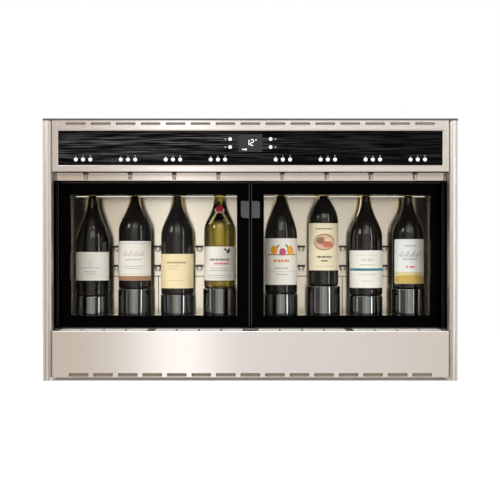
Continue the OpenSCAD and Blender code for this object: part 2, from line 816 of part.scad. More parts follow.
// A wall clip between two bottles: a bar on the back wall with a round wire loop hanging from it
module bottle_guide() {
    bar_w = 20;
    bar_h = 5;
    loop_r = 6;
    wire = 1.8;
    reach = 12;
    drop = 4;
    loop_y = wall_y - reach + drop;
    outer = loop_r + wire + over;
    block(-bar_w / 2, wall_y - reach, 0, bar_w / 2, wall_y, bar_h);
    for (x = [-loop_r, loop_r]) rod_z(x, loop_y, wire, -drop, 0);
    translate([0, front + loop_y, -drop]) rotate([90, 0, 0]) intersection() {
        rotate_extrude() translate([loop_r, 0]) circle(wire);
        translate([-outer, -outer, -outer]) cube([2 * outer, outer, 2 * outer]);
    }
}

module bottle_guides() color("silver") for (x = guide_x, z = guide_z) translate([x, 0, z]) bottle_guide();

module lifter(i) color(black) {
    top = lifter_top[i - 1];
    round_r = 2;
    ring_w = 2;
    ring_d = 1;
    translate([station_x[i - 1], front + bottle_y, top - lifter_h]) rotate_extrude() {
        difference() {
            union() {
                square([lifter_r - round_r, lifter_h]);
                square([lifter_r, lifter_h - round_r]);
                intersection() {
                    translate([lifter_r - round_r, lifter_h - round_r]) circle(round_r);
                    square([lifter_r, lifter_h]);
                }
            }
            translate([0, -over]) square([lifter_r - lifter_wall, lifter_h - lifter_lid + over]);
            for (k = [1, 2]) translate([k * lifter_r / 3, lifter_h - ring_d]) square([ring_w, ring_d + over]);
        }
    }
}

// Point of a round wire coil: ring j of n round the axis, side k of 6 round the wire
function coil_point(z0, z1, j, n, k) = let (
        a = 360 * spring_turns * j / n,
        r = spring_r + wire_r * cos(60 * k)
    ) [r * cos(a), r * sin(a), z0 + (z1 - z0) * j / n + wire_r * sin(60 * k)];

// Compression spring as one unbroken wire of six sides, eight rings to the turn
module coil(z0, z1) {
    n = 8 * spring_turns;
    points = [for (j = [0 : n], k = [0 : 5]) coil_point(z0, z1, j, n, k)];
    sides = [for (j = [0 : n - 1], k = [0 : 5]) let (l = (k + 1) % 6)
        each [[6 * j + k, 6 * j + l, 6 * j + 6 + l], [6 * j + k, 6 * j + 6 + l, 6 * j + 6 + k]]];
    caps = [[for (k = [5 : -1 : 0]) k], [for (k = [0 : 5]) 6 * n + k]];
    polyhedron(points, concat(sides, caps));
}

module lifter_springs() color("silver") for (i = [0 : 2 * per_door - 1])
    translate([station_x[i], front + bottle_y, 0])
        coil(well_z + gap + wire_r, lifter_top[i] - lifter_lid - gap - wire_r);

// ---- Cooling ----

module compressor() {
    pot_r = 52;
    pot_h = 90;
    base_r = 58;
    base_t = 6;
    x = -300;
    translate([x, front + back_y + compressor_set, foot_h + sheet]) rotate_extrude() {
        square([base_r, base_t]);
        square([pot_r, pot_h]);
        intersection() {
            translate([0, pot_h]) circle(pot_r);
            square([pot_r, pot_h + pot_r]);
        }
    }
}

module condenser() {
    fins = 16;
    fin_pitch = 12;
    fin_t = 1;
    pipe_r = 4;
    y0 = back_y + condenser_set;
    z0 = foot_h + sheet;
    half = (fins - 1) / 2 * fin_pitch;
    for (k = [0 : fins - 1])
        translate([k * fin_pitch - half, 0, 0])
            block(-fin_t / 2, y0, z0, fin_t / 2, y0 + condenser_d, z0 + cooler_h);
    for (y = [0.3, 0.7], z = [1/6, 1/2, 5/6])
        translate([-half - 2 * pipe_r, front + y0 + y * condenser_d, z0 + z * cooler_h]) rotate([0, 90, 0])
            cylinder(h = 2 * half + 4 * pipe_r, r = pipe_r);
}

module cooling_fan() {
    r = 54;
    rim = 4;
    fan_t = 22;
    hub_r = 16;
    hub_in = 2;
    blades = 5;
    blade_t = 2;
    blade_w = 18;
    bar_w = 6;
    y0 = back_y + condenser_set + condenser_d + gap;
    z0 = foot_h + sheet;
    z = z0 + cooler_h / 2;
    difference() {
        block(-r - rim, y0, z0, r + rim, y0 + fan_t, z0 + cooler_h);
        rod_y(0, z, r, y0 - over, y0 + fan_t + over);
    }
    rod_y(0, z, hub_r, y0 + hub_in, y0 + fan_t - hub_in);
    for (k = [0 : blades - 1]) translate([0, front + y0 + fan_t / 2, z]) rotate([0, 360 / blades * k, 0])
        translate([hub_r - hub_in, -blade_t / 2, -blade_w / 2]) rotate([28, 0, 0])
            cube([r - hub_r + over, blade_t, blade_w]);
    block(-r - over, y0 + fan_t - hub_in - over, z - bar_w / 2, r + over, y0 + fan_t - over, z + bar_w / 2);
}

module cooling_unit() color("dimgray") {
    compressor();
    condenser();
    cooling_fan();
}

// ---- Assembly ----

side_panels();
top_cover();
base_pan();
rear_panel();
upper_fascia();
control_panel();
display();
spout_rail();
spouts();
tap_heads();
gas_manifold();
lower_fascia();
chamber_liner();
bottle_guides();
lifter_springs();
cooling_unit();
drip_tray();
drip_plates();
mirror([1, 0, 0]) door_frame();  // door_frame_left
mirror([1, 0, 0]) door_glass();  // door_glass_left
mirror([1, 0, 0]) door_pull(left_pull_r);  // door_pull_left
door_frame();  // door_frame_right
door_glass();  // door_glass_right
door_pull(right_pull_r);  // door_pull_right
for (i = [1 : 2 * per_door])
    lifter(i);
for (i = [1 : 2 * per_door], b = [0 : 2])
    dose_button(i, b);
for (i = [1 : 4])
    menu_button(i);
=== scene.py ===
"""Finishes and fine pieces of a countertop wine preservation dispenser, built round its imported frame.

The machine faces -Y, stands on Z = 0 and is centred on X = 0. Sizes are in metres, apart from those of the
bottles and the printed marks, which are in millimetres.
"""
import json
import logging
from dataclasses import dataclass, field, replace
from enum import Enum
from functools import cache
from typing import Callable, Union

import bmesh
import bpy
import numpy as np
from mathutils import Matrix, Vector


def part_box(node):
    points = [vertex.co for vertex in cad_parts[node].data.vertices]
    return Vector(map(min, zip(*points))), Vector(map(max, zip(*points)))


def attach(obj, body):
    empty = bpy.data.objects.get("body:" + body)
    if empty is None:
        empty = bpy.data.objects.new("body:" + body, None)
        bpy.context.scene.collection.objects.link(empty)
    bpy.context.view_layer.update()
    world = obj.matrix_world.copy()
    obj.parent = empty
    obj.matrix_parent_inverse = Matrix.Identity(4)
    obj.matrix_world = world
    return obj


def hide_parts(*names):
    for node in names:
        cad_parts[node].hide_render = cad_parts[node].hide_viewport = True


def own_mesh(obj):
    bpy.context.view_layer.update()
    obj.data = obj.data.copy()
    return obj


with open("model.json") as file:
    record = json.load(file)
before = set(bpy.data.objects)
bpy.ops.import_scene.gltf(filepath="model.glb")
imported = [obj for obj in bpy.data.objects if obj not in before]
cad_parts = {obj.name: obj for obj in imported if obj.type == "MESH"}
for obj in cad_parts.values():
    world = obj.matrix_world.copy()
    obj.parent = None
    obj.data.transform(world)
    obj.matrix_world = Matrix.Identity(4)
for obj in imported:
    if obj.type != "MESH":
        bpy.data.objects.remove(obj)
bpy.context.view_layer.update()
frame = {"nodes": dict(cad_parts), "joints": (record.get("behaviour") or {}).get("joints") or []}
MM = 0.001
TURN = 2 * np.pi
# Gap that keeps a fine piece off the face that carries it.
HAIR = 0.05 * MM
# Least radius of a corner, and of the flat cap that ends a turned profile.
LEAST_R = 0.2 * MM
STATIONS = range(1, 9)
SIDES = ("left", "right")

log = logging.getLogger("dispenser")

Pair = tuple[float, float]
Triple = tuple[float, float, float]
Colour = Triple
Placing = Callable[[np.ndarray, np.ndarray, float], np.ndarray]
Socket = bpy.types.NodeSocket
Value = Union[Socket, float, Colour]


def tint(red: int, green: int, blue: int) -> Colour:
    """Turn a display colour into the linear colour that a shader takes.

    Args:
        red: Red from 0 to 255.
        green: Green from 0 to 255.
        blue: Blue from 0 to 255.

    Returns:
        The linear colour, by the sRGB curve.
    """
    values = np.array((red, green, blue)) / 255
    linear = np.where(values <= 0.04045, values / 12.92, ((values + 0.055) / 1.055) ** 2.4)
    return tuple(float(v) for v in linear)


@dataclass(frozen=True)
class Box:
    """The lowest and highest corner of a CAD node at rest."""

    low: Vector
    high: Vector

    @classmethod
    def of(cls, node: str) -> "Box":
        """Read the box of one node from the frame."""
        low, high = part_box(node)
        return cls(Vector(low), Vector(high))

    @property
    def centre(self) -> Vector:
        """The middle of the box."""
        return (self.low + self.high) / 2


# ---- Meshes ----


def grid_faces(rows: int, columns: int, closed_rows: bool = False,
               closed_columns: bool = False) -> np.ndarray:
    """Quads of a grid of points that is stored row by row.

    Args:
        rows: Number of rows of points.
        columns: Number of points in a row.
        closed_rows: Whether the last row joins the first.
        closed_columns: Whether the last column joins the first.

    Returns:
        An array of corner indices, four to a quad.
    """
    r = np.arange(rows if closed_rows else rows - 1)[:, None]
    c = np.arange(columns if closed_columns else columns - 1)[None, :]
    r_next, c_next = (r + 1) % rows, (c + 1) % columns
    corners = [r * columns + c, r * columns + c_next, r_next * columns + c_next, r_next * columns + c]
    return np.stack(np.broadcast_arrays(*corners), axis=-1).reshape(-1, 4)


@dataclass
class Shape:
    """Points and faces of a mesh under construction.

    Attributes:
        points: Positions, n by 3.
        faces: Corner indices of each face.
    """

    points: np.ndarray
    faces: list[list[int]]

    @staticmethod
    def joined(parts: list["Shape"]) -> "Shape":
        """Put shapes together as loose geometry.

        Args:
            parts: The shapes.

        Returns:
            One shape with all their points and faces.
        """
        starts = np.cumsum([0] + [len(part.points) for part in parts]).tolist()
        faces = [[start + i for i in face] for start, part in zip(starts, parts) for face in part.faces]
        return Shape(np.vstack([part.points for part in parts]), faces)

    @staticmethod
    def lofted(rings: np.ndarray) -> "Shape":
        """Skin closed rings of equal count, with a flat cap on the first and the last.

        Args:
            rings: Positions by ring and by place in the ring.

        Returns:
            The closed shape.
        """
        count, around = rings.shape[:2]
        faces = grid_faces(count, around, closed_columns=True).tolist()
        faces += [list(range(around))[::-1], list(range((count - 1) * around, count * around))]
        return Shape(rings.reshape(-1, 3), faces)

    @staticmethod
    def looped(rings: np.ndarray) -> "Shape":
        """Skin closed rings of equal count, with the last joined to the first."""
        faces = grid_faces(*rings.shape[:2], closed_rows=True, closed_columns=True)
        return Shape(rings.reshape(-1, 3), faces.tolist())

    @staticmethod
    def sheet(outer: np.ndarray, inner: np.ndarray) -> "Shape":
        """Close a thin plate between two grids of the same size that lie a thickness apart.

        Args:
            outer: Positions of its face by row and column.
            inner: Positions of its back.

        Returns:
            The closed plate.
        """
        rows, columns = outer.shape[:2]
        count = rows * columns
        index = np.arange(count).reshape(rows, columns)
        rim = np.concatenate([index[0, :-1], index[:-1, -1], index[-1, :0:-1], index[:0:-1, 0]])
        front = grid_faces(rows, columns)
        walls = np.stack([rim, np.roll(rim, -1), np.roll(rim, -1) + count, rim + count], axis=-1)
        faces = np.vstack([front[:, ::-1], front + count, walls])
        return Shape(np.concatenate([outer.reshape(-1, 3), inner.reshape(-1, 3)]), faces.tolist())


def turned(profile: np.ndarray, centre: Vector, around: int = 48) -> np.ndarray:
    """Turn a profile about the upright line through a centre.

    Point (i, j) lies at centre + (r_i cos a_j, r_i sin a_j, h_i) with a_j = 2 pi j / around.

    Args:
        profile: Pairs of radius and height.
        centre: Foot of the upright line.
        around: Number of points round each ring.

    Returns:
        The rings.
    """
    angle = np.arange(around) * TURN / around
    radius, height = profile[:, :1], profile[:, 1:]
    rings = np.stack([radius * np.cos(angle), radius * np.sin(angle), height + 0 * angle], axis=-1)
    return rings + np.array(centre)


def rounded_loop(low: Pair, high: Pair, radius: float, steps: int = 6) -> np.ndarray:
    """Points round a rectangle with round corners, counter-clockwise from its lower right corner.

    Each corner is a quarter circle: its centre plus radius times (cos a, sin a) over a quarter turn.

    Args:
        low: Lowest corner of the rectangle.
        high: Highest corner.
        radius: Radius of its corners.
        steps: Points on each corner.

    Returns:
        The points, n by 2.
    """
    centres = np.array([(high[0] - radius, low[1] + radius), (high[0] - radius, high[1] - radius),
                        (low[0] + radius, high[1] - radius), (low[0] + radius, low[1] + radius)])
    start = np.array([-1, 0, 1, 2]) * TURN / 4
    angle = start[:, None] + np.linspace(0, TURN / 4, steps)[None, :]
    loop = centres[:, None, :] + radius * np.stack([np.cos(angle), np.sin(angle)], axis=-1)
    return loop.reshape(-1, 2)


def framed(low: Pair, high: Pair, radius: float, profile: list[Pair]) -> np.ndarray:
    """Carry a profile round an upright rectangle that faces -Y.

    Ring i is the rectangle drawn in by the profile's inset i, at the profile's depth i.

    Args:
        low: Lowest x and z of the rectangle.
        high: Highest x and z of the rectangle.
        radius: Radius of its corners.
        profile: Pairs of inset and y.

    Returns:
        The rings.
    """
    rings = []
    for inset, y in profile:
        loop = rounded_loop((low[0] + inset, low[1] + inset), (high[0] - inset, high[1] - inset),
                            max(radius - inset, LEAST_R))
        rings.append(np.stack([loop[:, 0], np.full(len(loop), y), loop[:, 1]], axis=-1))
    return np.array(rings)


def half_round(y: float, z: float, half_w: float, drop: float, ends: Pair) -> np.ndarray:
    """Carry a half-round section along X, with its flat side up.

    Its points lie at (y + half_w cos a, z + drop sin a), with a from 0 to -pi.

    Args:
        y: Middle of the section.
        z: Height of its flat side.
        half_w: Half of its width.
        drop: Its height.
        ends: Where it starts and ends along X.

    Returns:
        The rings at both ends.
    """
    angle = np.linspace(0, -np.pi, 9)
    section = np.stack([y + half_w * np.cos(angle), z + drop * np.sin(angle)], axis=-1)
    return np.array([np.hstack([np.full((len(section), 1), x), section]) for x in ends])


def finished(name: str, body: str, mesh: bpy.types.Mesh, finish: "Finish") -> bpy.types.Object:
    """Put a mesh into the scene as a piece of the machine.

    Args:
        name: Name of the piece.
        body: CAD body that it moves with.
        mesh: The mesh, in its place.
        finish: The finish that it wears.

    Returns:
        The new object.
    """
    piece = bpy.data.objects.new(name, mesh)
    bpy.context.scene.collection.objects.link(piece)
    mesh.materials.append(material_of(finish))
    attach(piece, body)
    log.info("%s on %s: %d faces", name, body, len(mesh.polygons))
    return piece


def made(name: str, body: str, shape: Shape, finish: "Finish", sharp: float = 35,
         tints: np.ndarray | None = None) -> bpy.types.Object:
    """Build a piece from a shape, with its faces outwards and its edges over an angle kept sharp.

    Args:
        name: Name of the piece.
        body: CAD body that it moves with.
        shape: Points and faces.
        finish: The finish that it wears.
        sharp: Angle in degrees above which an edge stays sharp.
        tints: Linear colour of each point, for printed pieces.

    Returns:
        The new object.
    """
    mesh = bpy.data.meshes.new(name)
    mesh.from_pydata(shape.points.tolist(), [], shape.faces)
    if tints is not None:
        attribute = mesh.color_attributes.new(name="tint", type="FLOAT_COLOR", domain="POINT")
        colours = np.hstack([tints, np.ones((len(tints), 1))]).astype(np.float32)
        attribute.data.foreach_set("color", colours.ravel())
    work = bmesh.new()
    work.from_mesh(mesh)
    if tints is None:
        bmesh.ops.remove_doubles(work, verts=work.verts, dist=0.002 * MM)
    bmesh.ops.recalc_face_normals(work, faces=work.faces)
    work.to_mesh(mesh)
    work.free()
    mesh.shade_smooth()
    mesh.set_sharp_from_angle(angle=np.radians(sharp))
    return finished(name, body, mesh, finish)


def softened(node: str, body: str, finish: "Finish", width: float) -> bpy.types.Object:
    """Stand in for a CAD node with the same form and its sharp edges broken.

    Args:
        node: The CAD node, which is hidden.
        body: CAD body that it moves with.
        finish: The finish that it wears.
        width: Width of the broken edges.

    Returns:
        The new object, with a live Bevel modifier.
    """
    sharp = np.radians(50)
    work = bmesh.new()
    work.from_mesh(frame["nodes"][node].data)
    bmesh.ops.remove_doubles(work, verts=work.verts, dist=0.01 * MM)
    bmesh.ops.dissolve_limit(work, angle_limit=np.radians(1), verts=work.verts, edges=work.edges)
    mesh = bpy.data.meshes.new(node + "_shell")
    work.to_mesh(mesh)
    work.free()
    mesh.materials.clear()
    mesh.shade_smooth()
    mesh.set_sharp_from_angle(angle=sharp)
    piece = finished(node + "_shell", body, mesh, finish)
    bevel = piece.modifiers.new("edges", "BEVEL")
    bevel.width = width
    bevel.segments = 2
    bevel.angle_limit = sharp
    bevel.harden_normals = True
    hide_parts(node)
    return piece


def dress(finish: "Finish", *nodes: str) -> None:
    """Give CAD nodes a finish.

    Args:
        finish: The finish.
        nodes: Names of the nodes.
    """
    for node in nodes:
        for slot in frame["nodes"][node].material_slots:
            slot.material = material_of(finish)
        log.info("%s wears %s", node, finish.name)


# ---- Finishes ----


class Nodes:
    """A node tree under construction."""

    def __init__(self, tree: bpy.types.NodeTree) -> None:
        """Take up a tree."""
        self.tree = tree

    def node(self, kind: str, **settings: object) -> bpy.types.Node:
        """Add a node.

        Args:
            kind: Type of the node.
            settings: Its properties.

        Returns:
            The new node.
        """
        new = self.tree.nodes.new(kind)
        for key, value in settings.items():
            setattr(new, key, value)
        return new

    def link(self, start: Socket, end: Socket) -> None:
        """Join an output to an input."""
        self.tree.links.new(start, end)

    def feed(self, value: Value, end: Socket) -> None:
        """Join an output to an input, or set the input.

        Args:
            value: An output, a number or a colour.
            end: The input.
        """
        if isinstance(value, bpy.types.NodeSocket):
            self.link(value, end)
        else:
            end.default_value = (*value, 1) if isinstance(value, tuple) else value

    def math(self, operation: str, *values: Value) -> Socket:
        """Calculate with outputs and numbers.

        Args:
            operation: Operation of the Math node.
            values: What it works on.

        Returns:
            The result.
        """
        node = self.node("ShaderNodeMath", operation=operation)
        for value, end in zip(values, node.inputs):
            self.feed(value, end)
        return node.outputs[0]

    def spread(self, value: Socket, low: float, high: float, to_low: float, to_high: float) -> Socket:
        """Map a value from one range to another, and stop it at the ends.

        Args:
            value: The value.
            low: Where its range starts.
            high: Where its range ends.
            to_low: Result at the start.
            to_high: Result at the end.

        Returns:
            The result.
        """
        ranged = self.node("ShaderNodeMapRange")
        for end, number in zip(ranged.inputs, (value, low, high, to_low, to_high)):
            self.feed(number, end)
        return ranged.outputs[0]

    def blend(self, value: Value, first: Value, second: Value, kind: str = "RGBA") -> Socket:
        """Blend from one colour or number to another as a value goes from 0 to 1.

        Args:
            value: The value.
            first: Result at 0.
            second: Result at 1.
            kind: RGBA for colours, or FLOAT for numbers.

        Returns:
            The result.
        """
        mix = self.node("ShaderNodeMix", data_type=kind)
        for part, end in ((value, "Factor"), (first, "A"), (second, "B")):
            self.feed(part, mix.inputs[end])
        return mix.outputs["Result"]


class Shader(Nodes):
    """A material under construction: one Principled shader and the nodes that feed it."""

    def __init__(self, name: str) -> None:
        """Start a material.

        Args:
            name: Name of the material.
        """
        self.material = bpy.data.materials.new(name)
        self.material.use_nodes = True
        super().__init__(self.material.node_tree)
        self.principled = self.tree.nodes["Principled BSDF"]
        self.output = self.tree.nodes["Material Output"]

    def set(self, **values: object) -> None:
        """Set sockets of the Principled shader, with underscores for spaces."""
        for key, value in values.items():
            self.principled.inputs[key.replace("_", " ")].default_value = value

    def noise(self, stretch: Triple, scale: float, detail: float = 3, seed: float = 0) -> Socket:
        """Noise on Object coordinates, drawn out along the axes with a small stretch.

        Args:
            stretch: Scale of the coordinates along each axis.
            scale: Scale of the noise, in features to the metre.
            detail: Octaves of finer noise.
            seed: Shift of the pattern.

        Returns:
            The noise as a value from 0 to 1.
        """
        mapping = self.node("ShaderNodeMapping")
        mapping.inputs["Scale"].default_value = stretch
        mapping.inputs["Location"].default_value = (seed, seed, seed)
        self.link(self.node("ShaderNodeTexCoord").outputs["Object"], mapping.inputs["Vector"])
        texture = self.node("ShaderNodeTexNoise")
        texture.inputs["Scale"].default_value = scale
        texture.inputs["Detail"].default_value = detail
        self.link(mapping.outputs["Vector"], texture.inputs["Vector"])
        return texture.outputs["Fac"]

    def vary(self, noise: Socket, low: float, high: float) -> Socket:
        """Map noise, most of which lies between 0.3 and 0.7, to a range."""
        return self.spread(noise, 0.3, 0.7, low, high)

    def place(self, axis: str) -> Socket:
        """One of the Object coordinates in metres.

        Args:
            axis: X, Y or Z.

        Returns:
            The coordinate.
        """
        split = self.node("ShaderNodeSeparateXYZ")
        self.link(self.node("ShaderNodeTexCoord").outputs["Object"], split.inputs[0])
        return split.outputs[axis]

    def cover(self, mask: Socket, colour: Colour, roughness: float) -> None:
        """Lay a plain finish without metal over the one so far, where a mask is 1.

        Args:
            mask: 1 where the plain finish lies.
            colour: Its colour.
            roughness: Its roughness.
        """
        inputs = self.principled.inputs
        self.paint(self.blend(mask, inputs["Base Color"].links[0].from_socket, colour))
        self.roughen(self.blend(mask, inputs["Roughness"].links[0].from_socket, roughness, "FLOAT"))
        self.link(self.blend(mask, inputs["Metallic"].default_value, 0.0, "FLOAT"), inputs["Metallic"])

    def paint(self, colour: Socket) -> None:
        """Feed the base colour."""
        self.link(colour, self.principled.inputs["Base Color"])

    def roughen(self, value: Socket) -> None:
        """Feed the roughness."""
        self.link(value, self.principled.inputs["Roughness"])

    def emboss(self, height: Socket, strength: float, depth: float) -> None:
        """Feed the normal with a bump.

        Args:
            height: Height of the bump from 0 to 1.
            strength: Share of the bump that shows.
            depth: Depth of the bump in metres.
        """
        bump = self.node("ShaderNodeBump")
        bump.inputs["Strength"].default_value = strength
        bump.inputs["Distance"].default_value = depth
        self.link(height, bump.inputs["Height"])
        self.link(bump.outputs["Normal"], self.principled.inputs["Normal"])

    def clear_to(self, ray: str, colour: Colour) -> None:
        """Let one kind of ray pass: it meets a Transparent shader.

        Args:
            ray: The kind of ray, as Light Path names it.
            colour: Share of the light that passes.
        """
        clear = self.node("ShaderNodeBsdfTransparent")
        clear.inputs["Color"].default_value = (*colour, 1)
        mix = self.node("ShaderNodeMixShader")
        self.link(self.node("ShaderNodeLightPath").outputs[ray], mix.inputs[0])
        self.link(self.principled.outputs["BSDF"], mix.inputs[1])
        self.link(clear.outputs["BSDF"], mix.inputs[2])
        self.link(mix.outputs["Shader"], self.output.inputs["Surface"])


def scaled(colour: Colour, share: float) -> Colour:
    """A colour made lighter or darker, at most white."""
    return tuple(min(1.0, c * share) for c in colour)


@dataclass(frozen=True)
class Finish:
    """What every finish has.

    Attributes:
        name: Name of the material.
        colour: Linear base colour.
        roughness: Roughness of the surface.
    """

    name: str
    colour: Colour
    roughness: float

    def shade(self, shader: Shader) -> None:
        """Feed the shader. Each finish does this in its own way."""
        raise NotImplementedError


@cache
def material_of(finish: Finish) -> bpy.types.Material:
    """The material of a finish, made once.

    Args:
        finish: The finish.

    Returns:
        Its material.
    """
    shader = Shader(finish.name)
    finish.shade(shader)
    return shader.material


class Grain(Enum):
    """Direction of the brushing, as the stretch of the pattern along each axis."""

    ALONG_X = (0.02, 1.0, 1.0)
    ALONG_Y = (1.0, 0.02, 1.0)
    UPRIGHT = (1.0, 1.0, 0.02)
    NONE = (1.0, 1.0, 1.0)


@dataclass(frozen=True)
class BrushedMetal(Finish):
    """Metal with fine brush lines, slight clouds and handling marks.

    Attributes:
        grain: Direction of the brush lines.
        contrast: Share by which the lines lighten and darken the colour.
        smear: How far reflections are drawn out across lines that run along X.
        metallic: Share of metal, less where a near-white colour is painted sheen that stands in for lit
            steel.
    """

    grain: Grain = Grain.ALONG_X
    contrast: float = 0.06
    smear: float = 0.0
    metallic: float = 1.0

    def shade(self, shader: Shader) -> None:
        """Colour, roughness and bump follow the same stretched noise, over broad soft clouds.

        Args:
            shader: The shader to feed.
        """
        if self.smear:
            tangent = shader.node("ShaderNodeTangent", direction_type="RADIAL", axis="Z")
            shader.link(tangent.outputs[0], shader.principled.inputs["Tangent"])
            shader.set(Anisotropic=self.smear, Anisotropic_Rotation=0.25)
        lines = shader.noise(self.grain.value, 1400, detail=4)
        clouds = shader.noise(Grain.NONE.value, 5, detail=2, seed=3)
        light = shader.vary(shader.blend(0.35, lines, clouds, "FLOAT"), 0, 1)
        darker, lighter = (scaled(self.colour, 1 + sign * self.contrast) for sign in (-1, 1))
        shader.paint(shader.blend(light, darker, lighter))
        shader.roughen(shader.vary(lines, self.roughness - 0.05, self.roughness + 0.07))
        shader.emboss(lines, 0.12, 0.02 * MM)
        shader.set(Metallic=self.metallic)


@dataclass(frozen=True)
class LinerSteel(BrushedMetal):
    """Chamber lining: satin steel inside, black lacquer on its front, and painted shade in the joints between
    the back panels.

    Attributes:
        front: Y up to which the lacquer reaches.
        joints: Y from which the bare wall behind the panels starts. This wall is painted dark brown as the
            shade in the joints.
    """

    front: float = 0.0
    joints: float = 1.0

    def shade(self, shader: Shader) -> None:
        """Brushed metal, covered with black before one depth, and with dark brown painted shade behind
        another.

        Args:
            shader: The shader to feed.
        """
        super().shade(shader)
        depth = shader.place("Y")
        shader.cover(shader.math("LESS_THAN", depth, self.front), tint(3, 3, 3), 0.12)
        # Painted shade: the bare wall seen through the joints between the back panels is dark brown.
        shader.cover(shader.math("GREATER_THAN", depth, self.joints), tint(60, 50, 42), 0.5)


@dataclass(frozen=True)
class GuideSteel(BrushedMetal):
    """Wall clips: polished wire under bars of black plastic.

    Attributes:
        top: Top of the upper bars.
        pitch: Height from the lower bars to the upper ones.
        bar: Height of a bar.
    """

    top: float = 0.0
    pitch: float = 1.0
    bar: float = 0.0

    def shade(self, shader: Shader) -> None:
        """Brushed metal, covered with black where the depth below the top, modulo the pitch, is within a bar.

        Args:
            shader: The shader to feed.
        """
        super().shade(shader)
        below = shader.math("SUBTRACT", self.top, shader.place("Z"))
        within = shader.math("LESS_THAN", shader.math("MODULO", below, self.pitch), self.bar)
        shader.cover(within, tint(20, 18, 16), 0.35)


@dataclass(frozen=True)
class PlateWithPaintedLight(BrushedMetal):
    """Steel plate whose near-white colour with little metal is painted sheen for lit steel, with painted
    shade on its cut edges.

    Attributes:
        top: Height of the plate's upper face.
        edge: Depth below the top at which the painted shade on the edges starts.
    """

    top: float = 0.0
    edge: float = 0.35 * MM

    def shade(self, shader: Shader) -> None:
        """Brushed metal, covered with dark grey painted shade below the upper face.

        Args:
            shader: The shader to feed.
        """
        super().shade(shader)
        # Painted shade: the cut edges below the upper face are dark grey.
        shader.cover(shader.math("LESS_THAN", shader.place("Z"), self.top - self.edge), tint(22, 21, 20), 0.5)


@dataclass(frozen=True)
class PanelWithPaintedSheen(Finish):
    """Black panel with fine light streaks of painted sheen along its grain, plainer on its right and by its
    long edges.

    Attributes:
        centre_z: Height of the panel's middle.
        half_h: Half of the panel's height.
    """

    centre_z: float = 0.0
    half_h: float = 1.0

    def shade(self, shader: Shader) -> None:
        """Stretched noise makes the grain and its streaks of painted sheen; clouds and the distances to the
        middle and the left weaken the streaks.

        Args:
            shader: The shader to feed.
        """
        streaks = shader.noise((0.022, 1.0, 1.0), 460, detail=4, seed=1)
        clouds = shader.spread(shader.noise((0.5, 1.0, 1.0), 9, detail=2, seed=4), 0.35, 0.65, 0.35, 1.0)
        off = shader.math("ABSOLUTE", shader.math("SUBTRACT", shader.place("Z"), self.centre_z))
        # Painted sheen: the streaks fade away from the panel's middle and towards its right.
        middle = shader.spread(off, 0.45 * self.half_h, 0.95 * self.half_h, 1.0, 0.25)
        left = shader.spread(shader.place("X"), -0.08, 0.08, 1.0, 0.2)
        light = shader.spread(streaks, 0.45, 0.72, 0, 1)
        for share in (clouds, shader.math("MULTIPLY", middle, left)):
            light = shader.math("MULTIPLY", light, share)
        shader.paint(shader.blend(light, self.colour, tint(110, 109, 109)))
        shader.roughen(shader.vary(streaks, self.roughness, self.roughness + 0.15))
        shader.emboss(streaks, 0.2, 0.05 * MM)
        # The panel's own reflection is off; the painted streaks of sheen stand in for it.
        shader.set(Specular_IOR_Level=0.0)


@dataclass(frozen=True)
class Lacquer(Finish):
    """Smooth gloss with the faint waviness of lacquer or moulded plastic.

    Attributes:
        specular: Strength of the reflection.
        metallic: Share of metal, for black chrome.
    """

    specular: float = 0.5
    metallic: float = 0.0

    def shade(self, shader: Shader) -> None:
        """Broad waves in the bump and a thin haze in the roughness.

        Args:
            shader: The shader to feed.
        """
        waves = shader.noise(Grain.NONE.value, 60, detail=2)
        dust = shader.noise(Grain.NONE.value, 900, detail=3, seed=5)
        shader.paint(shader.blend(dust, scaled(self.colour, 0.9), scaled(self.colour, 1.1)))
        shader.roughen(shader.vary(waves, self.roughness, self.roughness + 0.04))
        shader.emboss(waves, 0.05, 0.05 * MM)
        shader.set(Specular_IOR_Level=self.specular, Metallic=self.metallic)


@dataclass(frozen=True)
class Moulded(Finish):
    """Matt plastic, rubber or enamel with a fine even grain.

    Attributes:
        grain_scale: Grains to the metre.
        depth: Depth of the grain.
    """

    grain_scale: float = 2500
    depth: float = 0.03 * MM

    def shade(self, shader: Shader) -> None:
        """One noise drives the grain, its shade and its sheen.

        Args:
            shader: The shader to feed.
        """
        grain = shader.noise(Grain.NONE.value, self.grain_scale, detail=2)
        shader.paint(shader.blend(grain, scaled(self.colour, 0.8), scaled(self.colour, 1.2)))
        shader.roughen(shader.vary(grain, self.roughness - 0.06, self.roughness + 0.06))
        shader.emboss(grain, 0.35, self.depth)
        shader.set(Specular_IOR_Level=0.35)


@dataclass(frozen=True)
class ClearGlass(Finish):
    """Glass that shows what is behind it.

    Attributes:
        ior: Refractive index, low on coated window glass.
        passing: Colour of the lamps' light that it lets through to what is behind.
        coat: Share of a clear coat, which reflects as plain glass does.
    """

    ior: float = 1.5
    passing: Colour = (0.9, 0.9, 0.9)
    coat: float = 0.0

    def shade(self, shader: Shader) -> None:
        """Full transmission with a faint haze in the roughness.

        Args:
            shader: The shader to feed.
        """
        haze = shader.noise(Grain.NONE.value, 25, detail=2, seed=7)
        shader.roughen(shader.vary(haze, self.roughness, self.roughness + 0.01))
        shader.set(Base_Color=(*self.colour, 1), IOR=self.ior, Transmission_Weight=1.0,
                   Coat_Weight=self.coat, Coat_Roughness=0.02)
        shader.clear_to("Is Shadow Ray", self.passing)


@dataclass(frozen=True)
class Glow(Finish):
    """Light diffuser or lit mark.

    Attributes:
        strength: Strength of the light.
    """

    strength: float = 1.0

    def shade(self, shader: Shader) -> None:
        """Even light with the soft mottling of a diffuser.

        Args:
            shader: The shader to feed.
        """
        mottle = shader.noise(Grain.NONE.value, 180, detail=1)
        colour = shader.blend(mottle, scaled(self.colour, 0.94), self.colour)
        shader.paint(colour)
        shader.link(colour, shader.principled.inputs["Emission Color"])
        shader.set(Emission_Strength=self.strength, Roughness=self.roughness)


